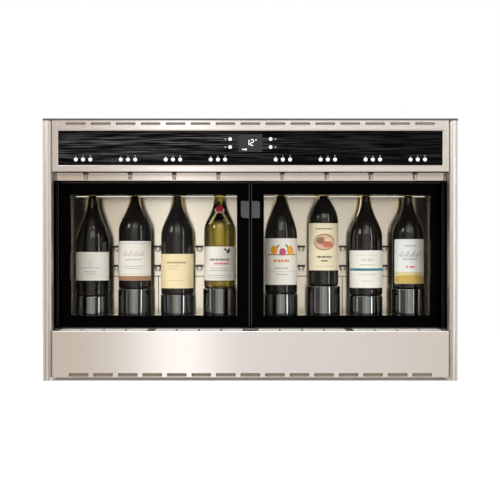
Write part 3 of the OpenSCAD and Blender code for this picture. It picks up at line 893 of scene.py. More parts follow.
@dataclass(frozen=True)
class PrintedPaper(Finish):
    """Label paper that carries its print as a colour at each point."""

    def shade(self, shader: Shader) -> None:
        """Paper fibres lighten and darken the print's own colour.

        Args:
            shader: The shader to feed.
        """
        printed = shader.node("ShaderNodeAttribute", attribute_name="tint")
        fibres = shader.noise((1.0, 1.0, 0.5), 1500, detail=4)
        mix = shader.node("ShaderNodeMix", data_type="RGBA", blend_type="MULTIPLY")
        mix.inputs["Factor"].default_value = 1.0
        shader.link(printed.outputs["Color"], mix.inputs["A"])
        shader.link(shader.blend(fibres, (0.88, 0.88, 0.88), (1.0, 1.0, 1.0)), mix.inputs["B"])
        shader.paint(mix.outputs["Result"])
        shader.roughen(shader.vary(fibres, self.roughness - 0.05, self.roughness + 0.05))
        shader.emboss(fibres, 0.3, 0.03 * MM)


class Look:
    """The finishes of the machine and its bottles."""

    STEEL = BrushedMetal("warm_brushed_steel", tint(224, 219, 214), 0.16, contrast=0.03, smear=0.9)
    COLUMN_STEEL = BrushedMetal("column_steel", tint(228, 222, 216), 0.40, Grain.UPRIGHT, 0.03)
    # Painted sheen: the drip plates are near-white with little metal, to look like lit steel.
    PLATE_PAINTED_LIGHT = PlateWithPaintedLight("plate_painted_sheen_and_shade", tint(248, 245, 240), 0.55, contrast=0.03, metallic=0.1,
                             top=Box.of("drip_plates").high.z)
    CHAMPAGNE = LinerSteel("champagne_steel", tint(216, 206, 190), 0.15, contrast=0.05, smear=0.9,
                           front=Box.of("chamber_liner").low.y + 76.6 * MM,
                           joints=Box.of("chamber_liner").high.y - 1.8 * MM)
    RAIL = BrushedMetal("rail_steel", tint(226, 216, 206), 0.16, contrast=0.04, smear=0.9)
    SPOUT = BrushedMetal("spout_steel", tint(204, 194, 182), 0.10, Grain.NONE, 0.02)
    GUIDE = GuideSteel("guide_steel", tint(244, 232, 206), 0.2, Grain.NONE, 0.02,
                       top=Box.of("bottle_guides").high.z, pitch=51 * MM, bar=5 * MM)
    REAR_STEEL = BrushedMetal("rear_steel", tint(186, 182, 176), 0.46)
    ZINC = BrushedMetal("zinc_sheet", tint(176, 178, 180), 0.42, Grain.ALONG_Y, 0.08)
    WIRE = BrushedMetal("spring_wire", tint(190, 190, 190), 0.30, Grain.NONE)
    SCREW = BrushedMetal("screw_steel", tint(170, 165, 160), 0.30, Grain.NONE)
    EDGE = BrushedMetal("edge_steel", tint(88, 88, 88), 0.30, contrast=0.02)
    TRIM = BrushedMetal("trim_steel", tint(226, 221, 216), 0.30, contrast=0.02)
    # Painted shade: the stainless top cover is dark grey, for the shade on its front edge.
    SHADED_TOP_COVER = Moulded("top_cover_painted_shade", tint(84, 79, 75), 0.45, grain_scale=3500)
    TRAY = Moulded("tray_enamel", tint(24, 24, 24), 0.4)
    HEAD = Moulded("head_plastic", tint(30, 30, 30), 0.5)
    RUBBER = Moulded("rubber", tint(14, 14, 14), 0.7, grain_scale=1500)
    FILTER = Moulded("filter_felt", tint(158, 148, 139), 0.8, grain_scale=1800)
    # Painted shade: the lower filter wears a darker, warmer copy of the same felt.
    SHADED_LOW_FILTER = Moulded("low_filter_felt_painted_shade", tint(150, 136, 120), 0.8, grain_scale=1800)
    ENAMEL = Moulded("black_enamel", tint(26, 26, 27), 0.38, grain_scale=1200, depth=0.08 * MM)
    # The control panel wears painted sheen: light streaks along its grain.
    PAINTED_SHEEN_PANEL = PanelWithPaintedSheen("panel_painted_sheen", tint(6, 6, 6), 0.32, Box.of("control_panel").centre.z, 42.5 * MM)
    BORDER = Lacquer("door_border", tint(2, 2, 2), 0.06, specular=0.015)
    PULL = Lacquer("pull_satin", tint(70, 70, 70), 0.38, specular=0.4)
    LIFTER = Lacquer("lifter_gloss", tint(138, 140, 140), 0.04, metallic=1.0)
    SCREEN = Lacquer("display_screen", tint(46, 48, 45), 0.12, specular=0.2)
    BUTTON = Lacquer("button_cap", tint(246, 246, 244), 0.22)
    INK = Lacquer("panel_ink", tint(150, 150, 150), 0.4, specular=0.3)
    RED_WINE = Lacquer("red_wine", tint(14, 10, 8), 0.5, specular=0.0)
    LAMP = Glow("lamp_diffuser", (1.0, 0.91, 0.78), 0.4, strength=0.75)
    PIXELS = Glow("screen_pixels", (0.92, 0.96, 1.0), 0.4, strength=0.9)
    PAPER = PrintedPaper("label_paper", (1.0, 1.0, 1.0), 0.6)
    WINDOW = ClearGlass("window_glass", (0.97, 0.98, 0.97), 0.0, ior=1.12, passing=(0.92, 0.94, 0.92))
    DARK_GLASS = ClearGlass("dark_bottle_glass", (0.98, 0.86, 0.56), 0.0, ior=1.15, passing=(0.3, 0.25, 0.15),
                            coat=1.0)
    OLIVE_GLASS = ClearGlass("olive_bottle_glass", (0.80, 0.74, 0.30), 0.0, ior=1.52,
                             passing=(0.7, 0.65, 0.3))
    WHITE_WINE = ClearGlass("white_wine", (0.90, 0.84, 0.44), 0.0, ior=1.34, passing=(0.85, 0.8, 0.5))


# ---- Printed marks ----


class Outline(Enum):
    """Outline of a printed mark, with the number of rows of points that it takes."""

    BAR = 2
    DIAMOND = 3
    OVAL = 17
    ROUNDED = 33

    def heights(self) -> np.ndarray:
        """Place the rows of points, closer towards the ends of a curved outline.

        Returns:
            Their heights from -1 to 1.
        """
        if self in (Outline.BAR, Outline.DIAMOND):
            return np.linspace(-1, 1, self.value)
        return -np.cos(np.linspace(0, np.pi, self.value))

    def widths(self, t: np.ndarray, corner: float) -> np.ndarray:
        """Half-widths at the heights t.

        A bar keeps 1, a diamond has 1 - |t|, and an oval sqrt(1 - t^2). A rounded plate keeps 1 up to
        its corners, which are quarter ellipses that take the share corner of its height.

        Args:
            t: Heights from -1 to 1.
            corner: Share of the height that round corners take.

        Returns:
            The half-widths from 0 to 1.
        """
        if self is Outline.BAR:
            return np.ones_like(t)
        if self is Outline.DIAMOND:
            return np.maximum(1 - np.abs(t), 0.01)
        if self is Outline.OVAL:
            return np.sqrt(np.maximum(1 - t * t, 1e-4))
        over = np.clip((np.abs(t) - (1 - corner)) / corner, 0, 1)
        return 1 - corner * (1 - np.sqrt(np.maximum(1 - over * over, 0)))


class Print:
    """Colours of the labels' paper and print."""

    WHITE = tint(244, 239, 231)
    CREAM = tint(244, 230, 196)
    INK = tint(70, 66, 64)
    FADED = tint(172, 168, 164)


@dataclass(frozen=True)
class Mark:
    """One printed mark, in millimetres on the surface that carries it.

    Attributes:
        across: Place of its centre to the right.
        up: Place of its centre upwards.
        width: Full width.
        height: Full height.
        colour: Linear colour, which only marks on paper show.
        outline: Its outline.
        lean: Shift to the right for each unit upwards.
        corner: Share of the height that round corners take.
    """

    across: float
    up: float
    width: float
    height: float
    colour: Colour = Print.INK
    outline: Outline = Outline.BAR
    lean: float = 0.0
    corner: float = 0.2

    def plate(self, place: Placing, low: float, high: float) -> Shape:
        """The mark as a thin closed plate.

        Point (i, j) lies across + lean t_i + w(t_i) s_j to the right and t_i upwards, with s from -1 to 1.

        Args:
            place: Puts a point across, up and proud of the surface into space.
            low: Height of the plate's back over the surface.
            high: Height of its front.

        Returns:
            The plate.
        """
        t = self.outline.heights()[:, None]
        s = np.linspace(-1, 1, max(3, int(self.width / 3) + 2))[None, :]
        rise = t * self.height / 2
        widths = self.outline.widths(t, self.corner)
        across = (self.across + self.lean * rise + widths * s * self.width / 2) * MM
        up = (self.up + rise + 0 * s) * MM
        return Shape.sheet(place(across, up, high), place(across, up, low))


def words(up: float, width: float, height: float, count: int, colour: Colour = Print.FADED, across: float = 0,
          gap: float = 0.8) -> list[Mark]:
    """A row of short bars that reads as words, or with many bars as letters, from afar.

    Bar k takes a share of the width that goes up and down with sin(2.4 k + up).

    Args:
        up: Place of the row upwards.
        width: Width of the row.
        height: Height of the bars.
        count: Number of bars.
        colour: Linear colour.
        across: Place of the row's centre to the right.
        gap: Space between two bars, as a share of their height.

    Returns:
        The bars, left to right.
    """
    shares = 1 + 0.5 * np.sin(2.4 * np.arange(count) + up)
    space = gap * height
    lengths = shares / shares.sum() * (width - space * (count - 1))
    starts = across - width / 2 + np.concatenate([[0], np.cumsum(lengths + space)[:-1]])
    return [Mark(float(x + length / 2), up, float(length), height, colour)
            for x, length in zip(starts, lengths)]


def script(up: float, width: float, height: float, count: int, colour: Colour) -> list[Mark]:
    """Slanting strokes on a common line, which read as handwriting from afar.

    Stroke k stands at its even place, and its height goes up and down with sin(1.9 k + up).

    Args:
        up: Place of the row upwards.
        width: Width of the row.
        height: Height of the tallest strokes.
        count: Number of strokes.
        colour: Linear colour.

    Returns:
        The line and the strokes.
    """
    places = np.linspace(-width / 2, width / 2, count)
    heights = height * (0.62 + 0.38 * np.sin(1.9 * np.arange(count) + up))
    foot = height * 0.3
    strokes = [Mark(float(x), float(up + h / 2 - foot), 1.1, float(h), colour, lean=0.45)
               for x, h in zip(places, heights)]
    return [Mark(0, up - foot, width, 0.5, colour)] + strokes


# ---- Sub-assemblies ----


@dataclass
class Casing:
    """Side panels, covers, fascias, rear panel, feet, filters and screws.

    Attributes:
        screw_r: Radius of a screw head.
        screw_head: Height of a screw head.
        hex_r: Radius of the hexagon in it.
        screw_insets: Distances of the front screws from the sides of the fascia.
        screw_in: Depth of their face behind the fascia's front.
        screw_up: Their height over the fascia's lower edge.
        rear_rows: Number of rows of screws at the back.
        rear_columns: Number of columns of screws at the back.
        rear_edge: Distance of those screws from the rear panel's edges.
        rear_in: Distance of the rear panel's sheet from the side panels' rear edges.
        foot_r: Radius of a rubber foot.
        foot_h: Height of a foot.
        foot_soft: Radius of its lower edge.
        foot_x: Distance of the feet from the sides of the base pan.
        foot_front: Distance of the front feet from its front.
        foot_rear: Distance of the rear feet from its back.
        trim_w: Width of the panel trim on the fascia.
        trim_edge: Thickness of the trim.
        trim_lap: How far the trim laps over the panel.
        filter_hw: Half of a filter's length.
        filter_t: Thickness of its felt.
        filter_in: Depth of the filters behind the fascia's front.
        filter_rows: Distances of a filter's edges from the fascia's outer edge.
        filter_ripple: Half of the height of a pleat.
        filter_pitch: Length of a pleat.
        filter_points: Number of points along a filter.
        shade_strip_hw: Half of the width of the black strip of painted shade under the fascia.
        lip_h: Height of that strip.
        shade_strip_in: Depth of its middle behind the fascia's front.
        shade_strip_end: Distance of its ends from the sides of the fascia.
        socket_x: Place of the power socket across.
        socket_z: Height of the power socket.
        socket_hw: Half of its width.
        socket_hh: Half of its height.
    """

    screw_r: float = 2.6 * MM
    screw_head: float = 1.2 * MM
    hex_r: float = 1.3 * MM
    screw_insets: Pair = (8.2 * MM, 17 * MM)
    screw_in: float = 1.25 * MM
    screw_up: float = 7.6 * MM
    rear_rows: int = 5
    rear_columns: int = 9
    rear_edge: float = 9 * MM
    rear_in: float = 10.5 * MM
    foot_r: float = 20.4 * MM
    foot_h: float = 8 * MM
    foot_soft: float = 1.5 * MM
    foot_x: float = 55 * MM
    foot_front: float = 72.5 * MM
    foot_rear: float = 95 * MM
    trim_w: float = 2 * MM
    trim_edge: float = 0.25 * MM
    trim_lap: float = 0.3 * MM
    filter_hw: float = 466 * MM
    filter_t: float = 1.5 * MM
    filter_in: float = 4 * MM
    filter_rows: Pair = (2 * MM, 15 * MM)
    filter_ripple: float = 0.8 * MM
    filter_pitch: float = 5 * MM
    filter_points: int = 747
    shade_strip_hw: float = 1.5 * MM
    lip_h: float = 2.2 * MM
    shade_strip_in: float = 4 * MM
    shade_strip_end: float = 2 * MM
    socket_x: float = -426 * MM
    socket_z: float = 330 * MM
    socket_hw: float = 12 * MM
    socket_hh: float = 8.5 * MM

    def build(self) -> None:
        """Dress the casing and add its fine pieces."""
        dress(Look.COLUMN_STEEL, "side_panels")
        dress(Look.STEEL, "upper_fascia", "lower_fascia")
        dress(Look.REAR_STEEL, "rear_panel")
        dress(Look.ZINC, "base_pan")
        dress(Look.SHADED_TOP_COVER, "top_cover")
        self.feet()
        self.panel_trim()
        self.filters()
        self.shade_strip_under_fascia()
        self.front_screws()
        self.rear_screws()
        self.power_socket()

    def feet(self) -> None:
        """Rubber feet: a profile with a round lower edge, turned about the middle of each foot."""
        base = Box.of("base_pan")
        r, top, soft = self.foot_r, self.foot_h - 0.1 * MM, self.foot_soft
        quarter = np.linspace(-TURN / 4, 0, 5)
        edge = np.stack([r - soft + soft * np.cos(quarter), soft + soft * np.sin(quarter)], axis=-1)
        profile = np.vstack([[(LEAST_R, 0)], edge, [(r, top), (LEAST_R, top)]])
        feet = [Shape.lofted(turned(profile, Vector((x, y, 0))))
                for x in (base.low.x + self.foot_x, base.high.x - self.foot_x)
                for y in (base.low.y + self.foot_front, base.high.y - self.foot_rear)]
        made("rubber_feet", "cabinet", Shape.joined(feet), Look.RUBBER)

    def panel_trim(self) -> None:
        """Bright sloping trim between the fascia and the control panel."""
        panel = Box.of("control_panel")
        front = Box.of("upper_fascia").low.y + HAIR
        edge, lap = self.trim_edge, self.trim_lap
        profile = [(-self.trim_w, front), (-self.trim_w + edge, front), (lap, panel.low.y - edge),
                   (lap, panel.low.y - 0.02 * MM), (-self.trim_w, front + edge)]
        rings = framed((panel.low.x, panel.low.z), (panel.high.x, panel.high.z), 0.5 * MM, profile)
        made("panel_trim", "cabinet", Shape.looped(rings), Look.TRIM, sharp=20)

    def filters(self) -> None:
        """Pleated air filters behind the two rows of slots.

        Point (i, j) of the face lies at x_j, y + a sin(2 pi x_j / p), z_i, with half of the pleats' height a
        and their length p. The back lies the felt's thickness behind it.
        """
        x = np.linspace(-self.filter_hw, self.filter_hw, self.filter_points)[None, :]
        upper, lower = Box.of("upper_fascia"), Box.of("lower_fascia")
        y = upper.low.y + self.filter_in + self.filter_ripple * np.sin(TURN * x / self.filter_pitch)
        near, far = self.filter_rows
        # The lower filter's felt is a darker copy, as painted shade.
        for name, low, high, finish in (
                ("upper_filter", upper.high.z - far, upper.high.z - near, Look.FILTER),
                ("lower_filter", lower.low.z + near, lower.low.z + far, Look.SHADED_LOW_FILTER)):
            z = np.array([[low], [high]])
            front, back = (np.stack(np.broadcast_arrays(x, y + behind, z), axis=-1)
                           for behind in (0, self.filter_t))
            made(name, "cabinet", Shape.sheet(front, back), finish, sharp=80)

    def shade_strip_under_fascia(self) -> None:
        """Black strip of painted shade under the upper fascia, in the gap between it and the spout rail: a
        half-round bar along X.
        """
        fascia = Box.of("upper_fascia")
        ends = (fascia.low.x + self.shade_strip_end, fascia.high.x - self.shade_strip_end)
        rings = half_round(fascia.low.y + self.shade_strip_in, fascia.low.z - HAIR, self.shade_strip_hw, self.lip_h, ends)
        # Painted shade: a black bar put in the gap, where there is only shade.
        made("shade_strip_under_fascia", "cabinet", Shape.lofted(rings), Look.RUBBER)

    def screw(self, x: float, y: float, z: float, side: int) -> Shape:
        """A socket screw whose head faces along Y.

        Ring i has radius r_i. The two rings of the socket follow a hexagon, whose radius at angle a is
        r cos 30 / cos((a modulo 60) - 30).

        Args:
            x: Place across.
            y: Face that the head lies on.
            z: Height.
            side: -1 if the head faces the front and 1 if it faces the rear.

        Returns:
            The screw head.
        """
        angle = np.arange(24) * TURN / 24
        circle = np.ones_like(angle)
        hexagon = np.cos(TURN / 12) / np.cos(np.mod(angle, TURN / 6) - TURN / 12)
        radii = np.stack([self.screw_r * circle, self.screw_r * circle, 0.85 * self.screw_r * circle,
                          self.hex_r * hexagon, self.hex_r * hexagon])
        heights = np.array([0, 0.6, 1.0, 1.0, 0.2])[:, None] * self.screw_head
        rings = [x + radii * np.cos(angle), y + side * heights + 0 * radii, z + radii * np.sin(angle)]
        return Shape.lofted(np.stack(rings, axis=-1))

    def front_screws(self) -> None:
        """Two screws in each lower corner of the fascia, sunk just below its front face."""
        fascia = Box.of("lower_fascia")
        face, z = fascia.low.y + self.screw_in, fascia.low.z + self.screw_up
        screws = [self.screw(side * (fascia.high.x - inset), face, z, -1)
                  for side in (-1, 1) for inset in self.screw_insets]
        made("front_screws", "cabinet", Shape.joined(screws), Look.SCREW)

    def rear_screws(self) -> None:
        """Screws round the rear panel, evenly spaced along its edges."""
        rear = Box.of("rear_panel")
        columns = np.linspace(rear.low.x + self.rear_edge, rear.high.x - self.rear_edge, self.rear_columns)
        rows = np.linspace(rear.low.z + self.rear_edge, rear.high.z - self.rear_edge, self.rear_rows)
        places = [(x, z) for x in columns for z in (rows[0], rows[-1])]
        places += [(x, z) for z in rows[1:-1] for x in (columns[0], columns[-1])]
        screws = [self.screw(float(x), self.rear_face, float(z), 1) for x, z in places]
        made("rear_screws", "cabinet", Shape.joined(screws), Look.SCREW)

    @property
    def rear_face(self) -> float:
        """Rear face of the rear panel's sheet, without its louvre hoods."""
        return Box.of("side_panels").high.y - self.rear_in

    def power_socket(self) -> None:
        """Black flange and lining of the power socket's recess."""
        # Inset and height over the rear panel of each corner of the section, in millimetres.
        section = ((-4, 0.05), (-4, 1.6), (-3.4, 2.2), (0.4, 2.2), (0.8, 1.6), (0.8, -15.6), (0.2, -15.6),
                   (0.2, 0.05))
        profile = [(inset * MM, self.rear_face + height * MM) for inset, height in section]
        low = (self.socket_x - self.socket_hw, self.socket_z - self.socket_hh)
        high = (self.socket_x + self.socket_hw, self.socket_z + self.socket_hh)
        rings = framed(low, high, 3 * MM, profile)
        made("power_socket", "cabinet", Shape.looped(rings), Look.HEAD)


@dataclass
class Controls:
    """Control panel, buttons, their signs and the display.

    Attributes:
        ink: Height of the print's front over its surface.
        back: Height of the print's back over its surface.
        over: Distance of a dose button's sign from the button's upper edge.
        beside: Distance of a menu button's sign from the button's middle.
        digit_w: Width of a digit in millimetres.
        digit_h: Height of a digit in millimetres.
        stroke: Width of a digit's segments in millimetres.
    """

    ink: float = 0.12 * MM
    back: float = 0.02 * MM
    over: float = 4.0 * MM
    beside: float = 11.5 * MM
    digit_w: float = 7.0
    digit_h: float = 14.0
    stroke: float = 1.5

    def build(self) -> None:
        """Dress the panel and print its marks."""
        dress(Look.PAINTED_SHEEN_PANEL, "control_panel")
        dress(Look.SCREEN, "display")
        dress(Look.BUTTON, *(n for n in frame["nodes"] if n.startswith(("dose_button", "menu_button"))))
        self.dose_signs()
        self.menu_signs()
        self.screen()

    def sign(self, x: float, y: float, z: float, *marks: Mark) -> list[Shape]:
        """Print marks on a plane that faces the front.

        Args:
            x: Place of the marks' origin across.
            y: Place of the plane.
            z: Height of the marks' origin.
            marks: The marks.

        Returns:
            A plate for each mark.
        """
        def place(across: np.ndarray, up: np.ndarray, proud: float) -> np.ndarray:
            """Put points of a mark onto the plane."""
            return np.stack([x + across, np.full_like(across, y - proud), z + up], axis=-1)

        return [mark.plate(place, self.back, self.ink) for mark in marks]

    def dose_signs(self) -> None:
        """A small wine glass over each dose button, filled higher from left to right."""
        face = Box.of("control_panel").low.y
        plates = []
        for station in STATIONS:
            for fill, letter in enumerate("abc", start=1):
                button = Box.of(f"dose_button_{station}{letter}")
                bowl = Mark(0, 1.4 * fill / 3 - 0.9, 2.6, 2.4 * fill / 3)
                stem, base = Mark(0, -2.1, 0.5, 1.6), Mark(0, -3.0, 2.2, 0.5)
                plates += self.sign(button.centre.x, face, button.high.z + self.over, bowl, stem, base)
        made("dose_signs", "cabinet", Shape.joined(plates), Look.INK)

    def menu_signs(self) -> None:
        """A small sign beside each menu button: diamonds for the first and the last, ovals for the rest."""
        face = Box.of("control_panel").low.y
        plates = []
        for number, size, outline in ((1, (5.4, 5.0), Outline.DIAMOND), (2, (4.2, 4.2), Outline.OVAL),
                                      (3, (4.4, 4.4), Outline.OVAL), (4, (5.4, 5.0), Outline.DIAMOND)):
            button = Box.of(f"menu_button_{number}").centre
            outward = self.beside * (-1 if button.x < 0 else 1)
            plates += self.sign(button.x + outward, face, button.z, Mark(0, 0, *size, outline=outline))
        made("menu_signs", "cabinet", Shape.joined(plates), Look.INK)

    def screen(self) -> None:
        """What the display shows: a temperature in plain segments, a degree sign and a gauge of bars."""
        display = Box.of("display")
        digits = [self.segment(name, across, 1.5)
                  for across, names in ((-7.0, "bc"), (4.0, "abged")) for name in names]
        degree = Mark(13.5, 7.6, 2.6, 2.6, outline=Outline.OVAL)
        gauge = [Mark(-20.0 + 3.2 * k, -15.5, 2.0, 1.6 + 0.9 * k) for k in range(4)]
        plates = self.sign(display.centre.x, display.low.y, display.centre.z, *digits, degree, *gauge)
        made("screen_signs", "cabinet", Shape.joined(plates), Look.PIXELS)

    def segment(self, name: str, across: float, up: float) -> Mark:
        """One segment of a digit.

        Args:
            name: Its letter, a to f clockwise from the top and g in the middle.
            across: Place of the digit's centre to the right.
            up: Place of the digit's centre upwards.

        Returns:
            The segment.
        """
        level = {"a": 1, "g": 0, "d": -1}
        if name in level:
            return Mark(across, up + level[name] * self.digit_h / 2, self.digit_w - self.stroke, self.stroke)
        right = 1 if name in "bc" else -1
        upper = 1 if name in "bf" else -1
        return Mark(across + right * self.digit_w / 2, up + upper * self.digit_h / 4, self.stroke,
                    self.digit_h / 2 - self.stroke)


@dataclass
class Doors:
    """Two doors with black borders, windows, pulls and seals.

    Attributes:
        edge: Width of the frames' broken edges.
        pull_edge: Width of the pulls' broken edges.
        pins: Height of a frame's hinge pins.
        edging_w: Width of the bright edging.
        seal_w: Width of a door's seal.
        seal_t: Thickness of the seal.
        seal_in: Distance of the seal from the frame's outline.
        seal_slope: Width of the seal's sloping sides.
        post_w: Width of the strip between the chambers.
        post_t: Thickness of the strip.
        post_in: Distance of its ends from the ends of the doors.
        post_gap: Space between the strip and the doors.
    """

    edge: float = 0.7 * MM
    pull_edge: float = 0.5 * MM
    pins: float = 9.7 * MM
    edging_w: float = 0.9 * MM
    seal_w: float = 9 * MM
    seal_t: float = 0.25 * MM
    seal_in: float = 6 * MM
    seal_slope: float = 1 * MM
    post_w: float = 23 * MM
    post_t: float = 0.15 * MM
    post_in: float = 10 * MM
    post_gap: float = 0.5 * MM

    def build(self) -> None:
        """Dress both doors."""
        for side in SIDES:
            body = f"door_{side}"
            softened(f"door_frame_{side}", body, Look.BORDER, self.edge)
            softened(f"door_pull_{side}", body, Look.PULL, self.pull_edge)
            dress(Look.WINDOW, f"door_glass_{side}")
            self.seal(side)
            self.edging(side)
        self.post()

    def post(self) -> None:
        """Black strip on the wall between the chambers, behind the gap between the doors."""
        door = Box.of("door_frame_left")
        back = door.high.y + self.post_gap
        low = (-self.post_w / 2, door.low.z + self.post_in)
        high = (self.post_w / 2, door.high.z - self.post_in)
        profile = [(0, back - 0.01 * MM), (0, back - self.post_t), (0.3 * MM, back - self.post_t - 0.02 * MM)]
        shape = Shape.lofted(framed(low, high, 2 * MM, profile))
        made("middle_seal", "cabinet", shape, Look.RUBBER)

    def ring(self, door: Box, inset: float, radius: float, profile: list[Pair]) -> Shape:
        """Carry a profile round a door's frame.

        Args:
            door: Box of the frame with its hinge pins.
            inset: Distance from the frame's outline.
            radius: Radius of the corners.
            profile: Pairs of inset and y.

        Returns:
            The closed ring.
        """
        low = (door.low.x + inset, door.low.z + self.pins + inset)
        high = (door.high.x - inset, door.high.z - self.pins - inset)
        return Shape.looped(framed(low, high, radius, profile))

    def edging(self, side: str) -> None:
        """Thin bright edging round the front of a door.

        Args:
            side: Side of the door.
        """
        door = Box.of(f"door_frame_{side}")
        start, end = self.edge, self.edge + self.edging_w
        front, back = door.low.y - 0.08 * MM, door.low.y + 0.1 * MM
        shape = self.ring(door, 0, 1.5 * MM, [(start, front), (end, front), (end, back), (start, back)])
        made(f"door_edging_{side}", f"door_{side}", shape, Look.EDGE)

    def seal(self, side: str) -> None:
        """Soft seal round the back of a door.

        Args:
            side: Side of the door.
        """
        door = Box.of(f"door_frame_{side}")
        foot, crown, sunk = door.high.y, door.high.y + self.seal_t, door.high.y - 0.1 * MM
        profile = [(0, foot), (self.seal_slope, crown), (self.seal_w - self.seal_slope, crown),
                   (self.seal_w, foot), (self.seal_w, sunk), (0, sunk)]
        shape = self.ring(door, self.seal_in, 4 * MM, profile)
        made(f"door_seal_{side}", f"door_{side}", shape, Look.RUBBER)


@dataclass
class Chambers:
    """Chamber liner, lifters, springs, guides and lamps.

    Attributes:
        lamp_w: Width of a lamp diffuser.
        lamp_h: Height of a diffuser.
        lamp_in: Distance of a diffuser's ends from the middle of the machine and from the chamber's side.
        rail_y: Middle of the lamp rails.
        rail_z: Lower face of the lamp rails.
        side_in: Distance of the chamber's side from the liner's outline.
        lid: Thickness of a lifter's top.
        wire_r: Radius of a spring's wire.
        coil_r: Radius of the coil.
        turns: Number of turns.
        flat: Turns that lie flat at each end.
        clear: Space between a spring's ends and what they press on.
    """

    lamp_w: float = 7 * MM
    lamp_h: float = 1.8 * MM
    lamp_in: float = 14 * MM
    rail_y: float = 29 * MM
    rail_z: float = 462.3 * MM
    side_in: float = 12 * MM
    lid: float = 5 * MM
    wire_r: float = 1.8 * MM
    coil_r: float = 30 * MM
    turns: int = 5
    flat: float = 0.6
    clear: float = 0.3 * MM

    def build(self) -> None:
        """Dress the chambers and light them."""
        dress(Look.CHAMPAGNE, "chamber_liner")
        dress(Look.GUIDE, "bottle_guides")
        dress(Look.LIFTER, *(f"lifter_{i}" for i in STATIONS))
        for station in STATIONS:
            self.spring(station)
        self.lamps()

    def spring(self, station: int) -> None:
        """Make the spring under one lifter, at its length at rest.

        A round wire is carried along a coil. At turn s of the coil its angle is 2 pi s, and it rises evenly
        between the flat parts of its ends. Side b of the wire adds wire_r cos b outwards and wire_r sin b
        upwards.

        Args:
            station: Number of the lifter.
        """
        lifter = Box.of(f"lifter_{station}")
        joint = next(j for j in frame["joints"] if j["child"] == f"lifter_{station}")
        seat = joint["deforming_nodes"][0]["fixed_end_z_m"]
        length = lifter.high.z - self.lid - self.clear - seat
        low, high = seat + self.clear + self.wire_r, seat + length - self.wire_r
        along = np.linspace(0, self.turns, 32 * self.turns + 1)[:, None]
        rise = np.clip((along - self.flat) / (self.turns - 2 * self.flat), 0, 1)
        side = np.arange(10) * TURN / 10
        radius = self.coil_r + self.wire_r * np.cos(side)
        rings = np.stack([lifter.centre.x + radius * np.cos(TURN * along),
                          lifter.centre.y + radius * np.sin(TURN * along),
                          low + (high - low) * rise + self.wire_r * np.sin(side)], axis=-1)
        piece = made(f"spring_{station}", "cabinet", Shape.lofted(rings), Look.WIRE)
        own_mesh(piece)
        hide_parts("lifter_springs")

    def lamps(self) -> None:
        """A lamp diffuser under each chamber's lamp rail: a half-round bar along X."""
        outer = Box.of("chamber_liner").high.x - self.side_in - self.lamp_in
        for side, sign in zip(SIDES, (-1, 1)):
            ends = tuple(sorted((sign * self.lamp_in, sign * outer)))
            rings = half_round(self.rail_y, self.rail_z - HAIR, self.lamp_w / 2, self.lamp_h, ends)
            made(f"chamber_lamp_{side}", "cabinet", Shape.lofted(rings), Look.LAMP)


@dataclass
class Taps:
    """Spout rail, spouts, tap heads, gas manifold and cooling unit.

    Attributes:
        collar_r: Outer radius of a spout's collar.
        collar_h: Height of a collar.
        collar_soft: Width of the slope at its lower edge.
        bore_r: Radius of its bore.
    """

    collar_r: float = 6.2 * MM
    collar_h: float = 2.2 * MM
    collar_soft: float = 0.6 * MM
    bore_r: float = 4.25 * MM

    def build(self) -> None:
        """Dress the taps."""
        self.collars()
        dress(Look.RAIL, "spout_rail")
        dress(Look.SPOUT, "spouts")
        dress(Look.HEAD, "tap_heads")
        dress(Look.ZINC, "gas_manifold")
        dress(Look.ENAMEL, "cooling_unit")

    def collars(self) -> None:
        """Black collars round the spouts, under the fascia: a closed profile turned about each spout."""
        top = Box.of("upper_fascia").low.z - HAIR
        low = top - self.collar_h
        profile = np.array([(self.bore_r, top), (self.collar_r, top), (self.collar_r, low + self.collar_soft),
                            (self.collar_r - self.collar_soft, low), (self.bore_r, low)])
        y = Box.of("spouts").low.y + self.bore_r
        rings = [turned(profile, Vector((Box.of(f"lifter_{i}").centre.x, y, 0)), around=32) for i in STATIONS]
        shape = Shape.joined([Shape.looped(ring) for ring in rings])
        made("spout_collars", "cabinet", shape, Look.HEAD)


@dataclass
class DripTray:
    """Tray and cover plates under the spouts.

    Attributes:
        edge: Width of the plates' broken edges.
    """

    edge: float = 0.3 * MM

    def build(self) -> None:
        """Dress the tray and soften the plates' edges."""
        dress(Look.TRAY, "drip_tray")
        softened("drip_plates", "drip_plates", Look.PLATE_PAINTED_LIGHT, self.edge)


@dataclass(frozen=True)
class Label:
    """A bottle label.

    Attributes:
        low: Lower edge over the bottle's foot, in millimetres.
        high: Upper edge over the bottle's foot.
        reach: Half of the angle that it wraps, in degrees.
        paper: Colour of the paper.
        marks: What is printed on it, from its centre.
        outline: Outline of the label.
        corner: Share of its height that round corners take.
    """

    low: float
    high: float
    reach: float
    paper: Colour
    marks: tuple[Mark, ...]
    outline: Outline = Outline.BAR
    corner: float = 0.12


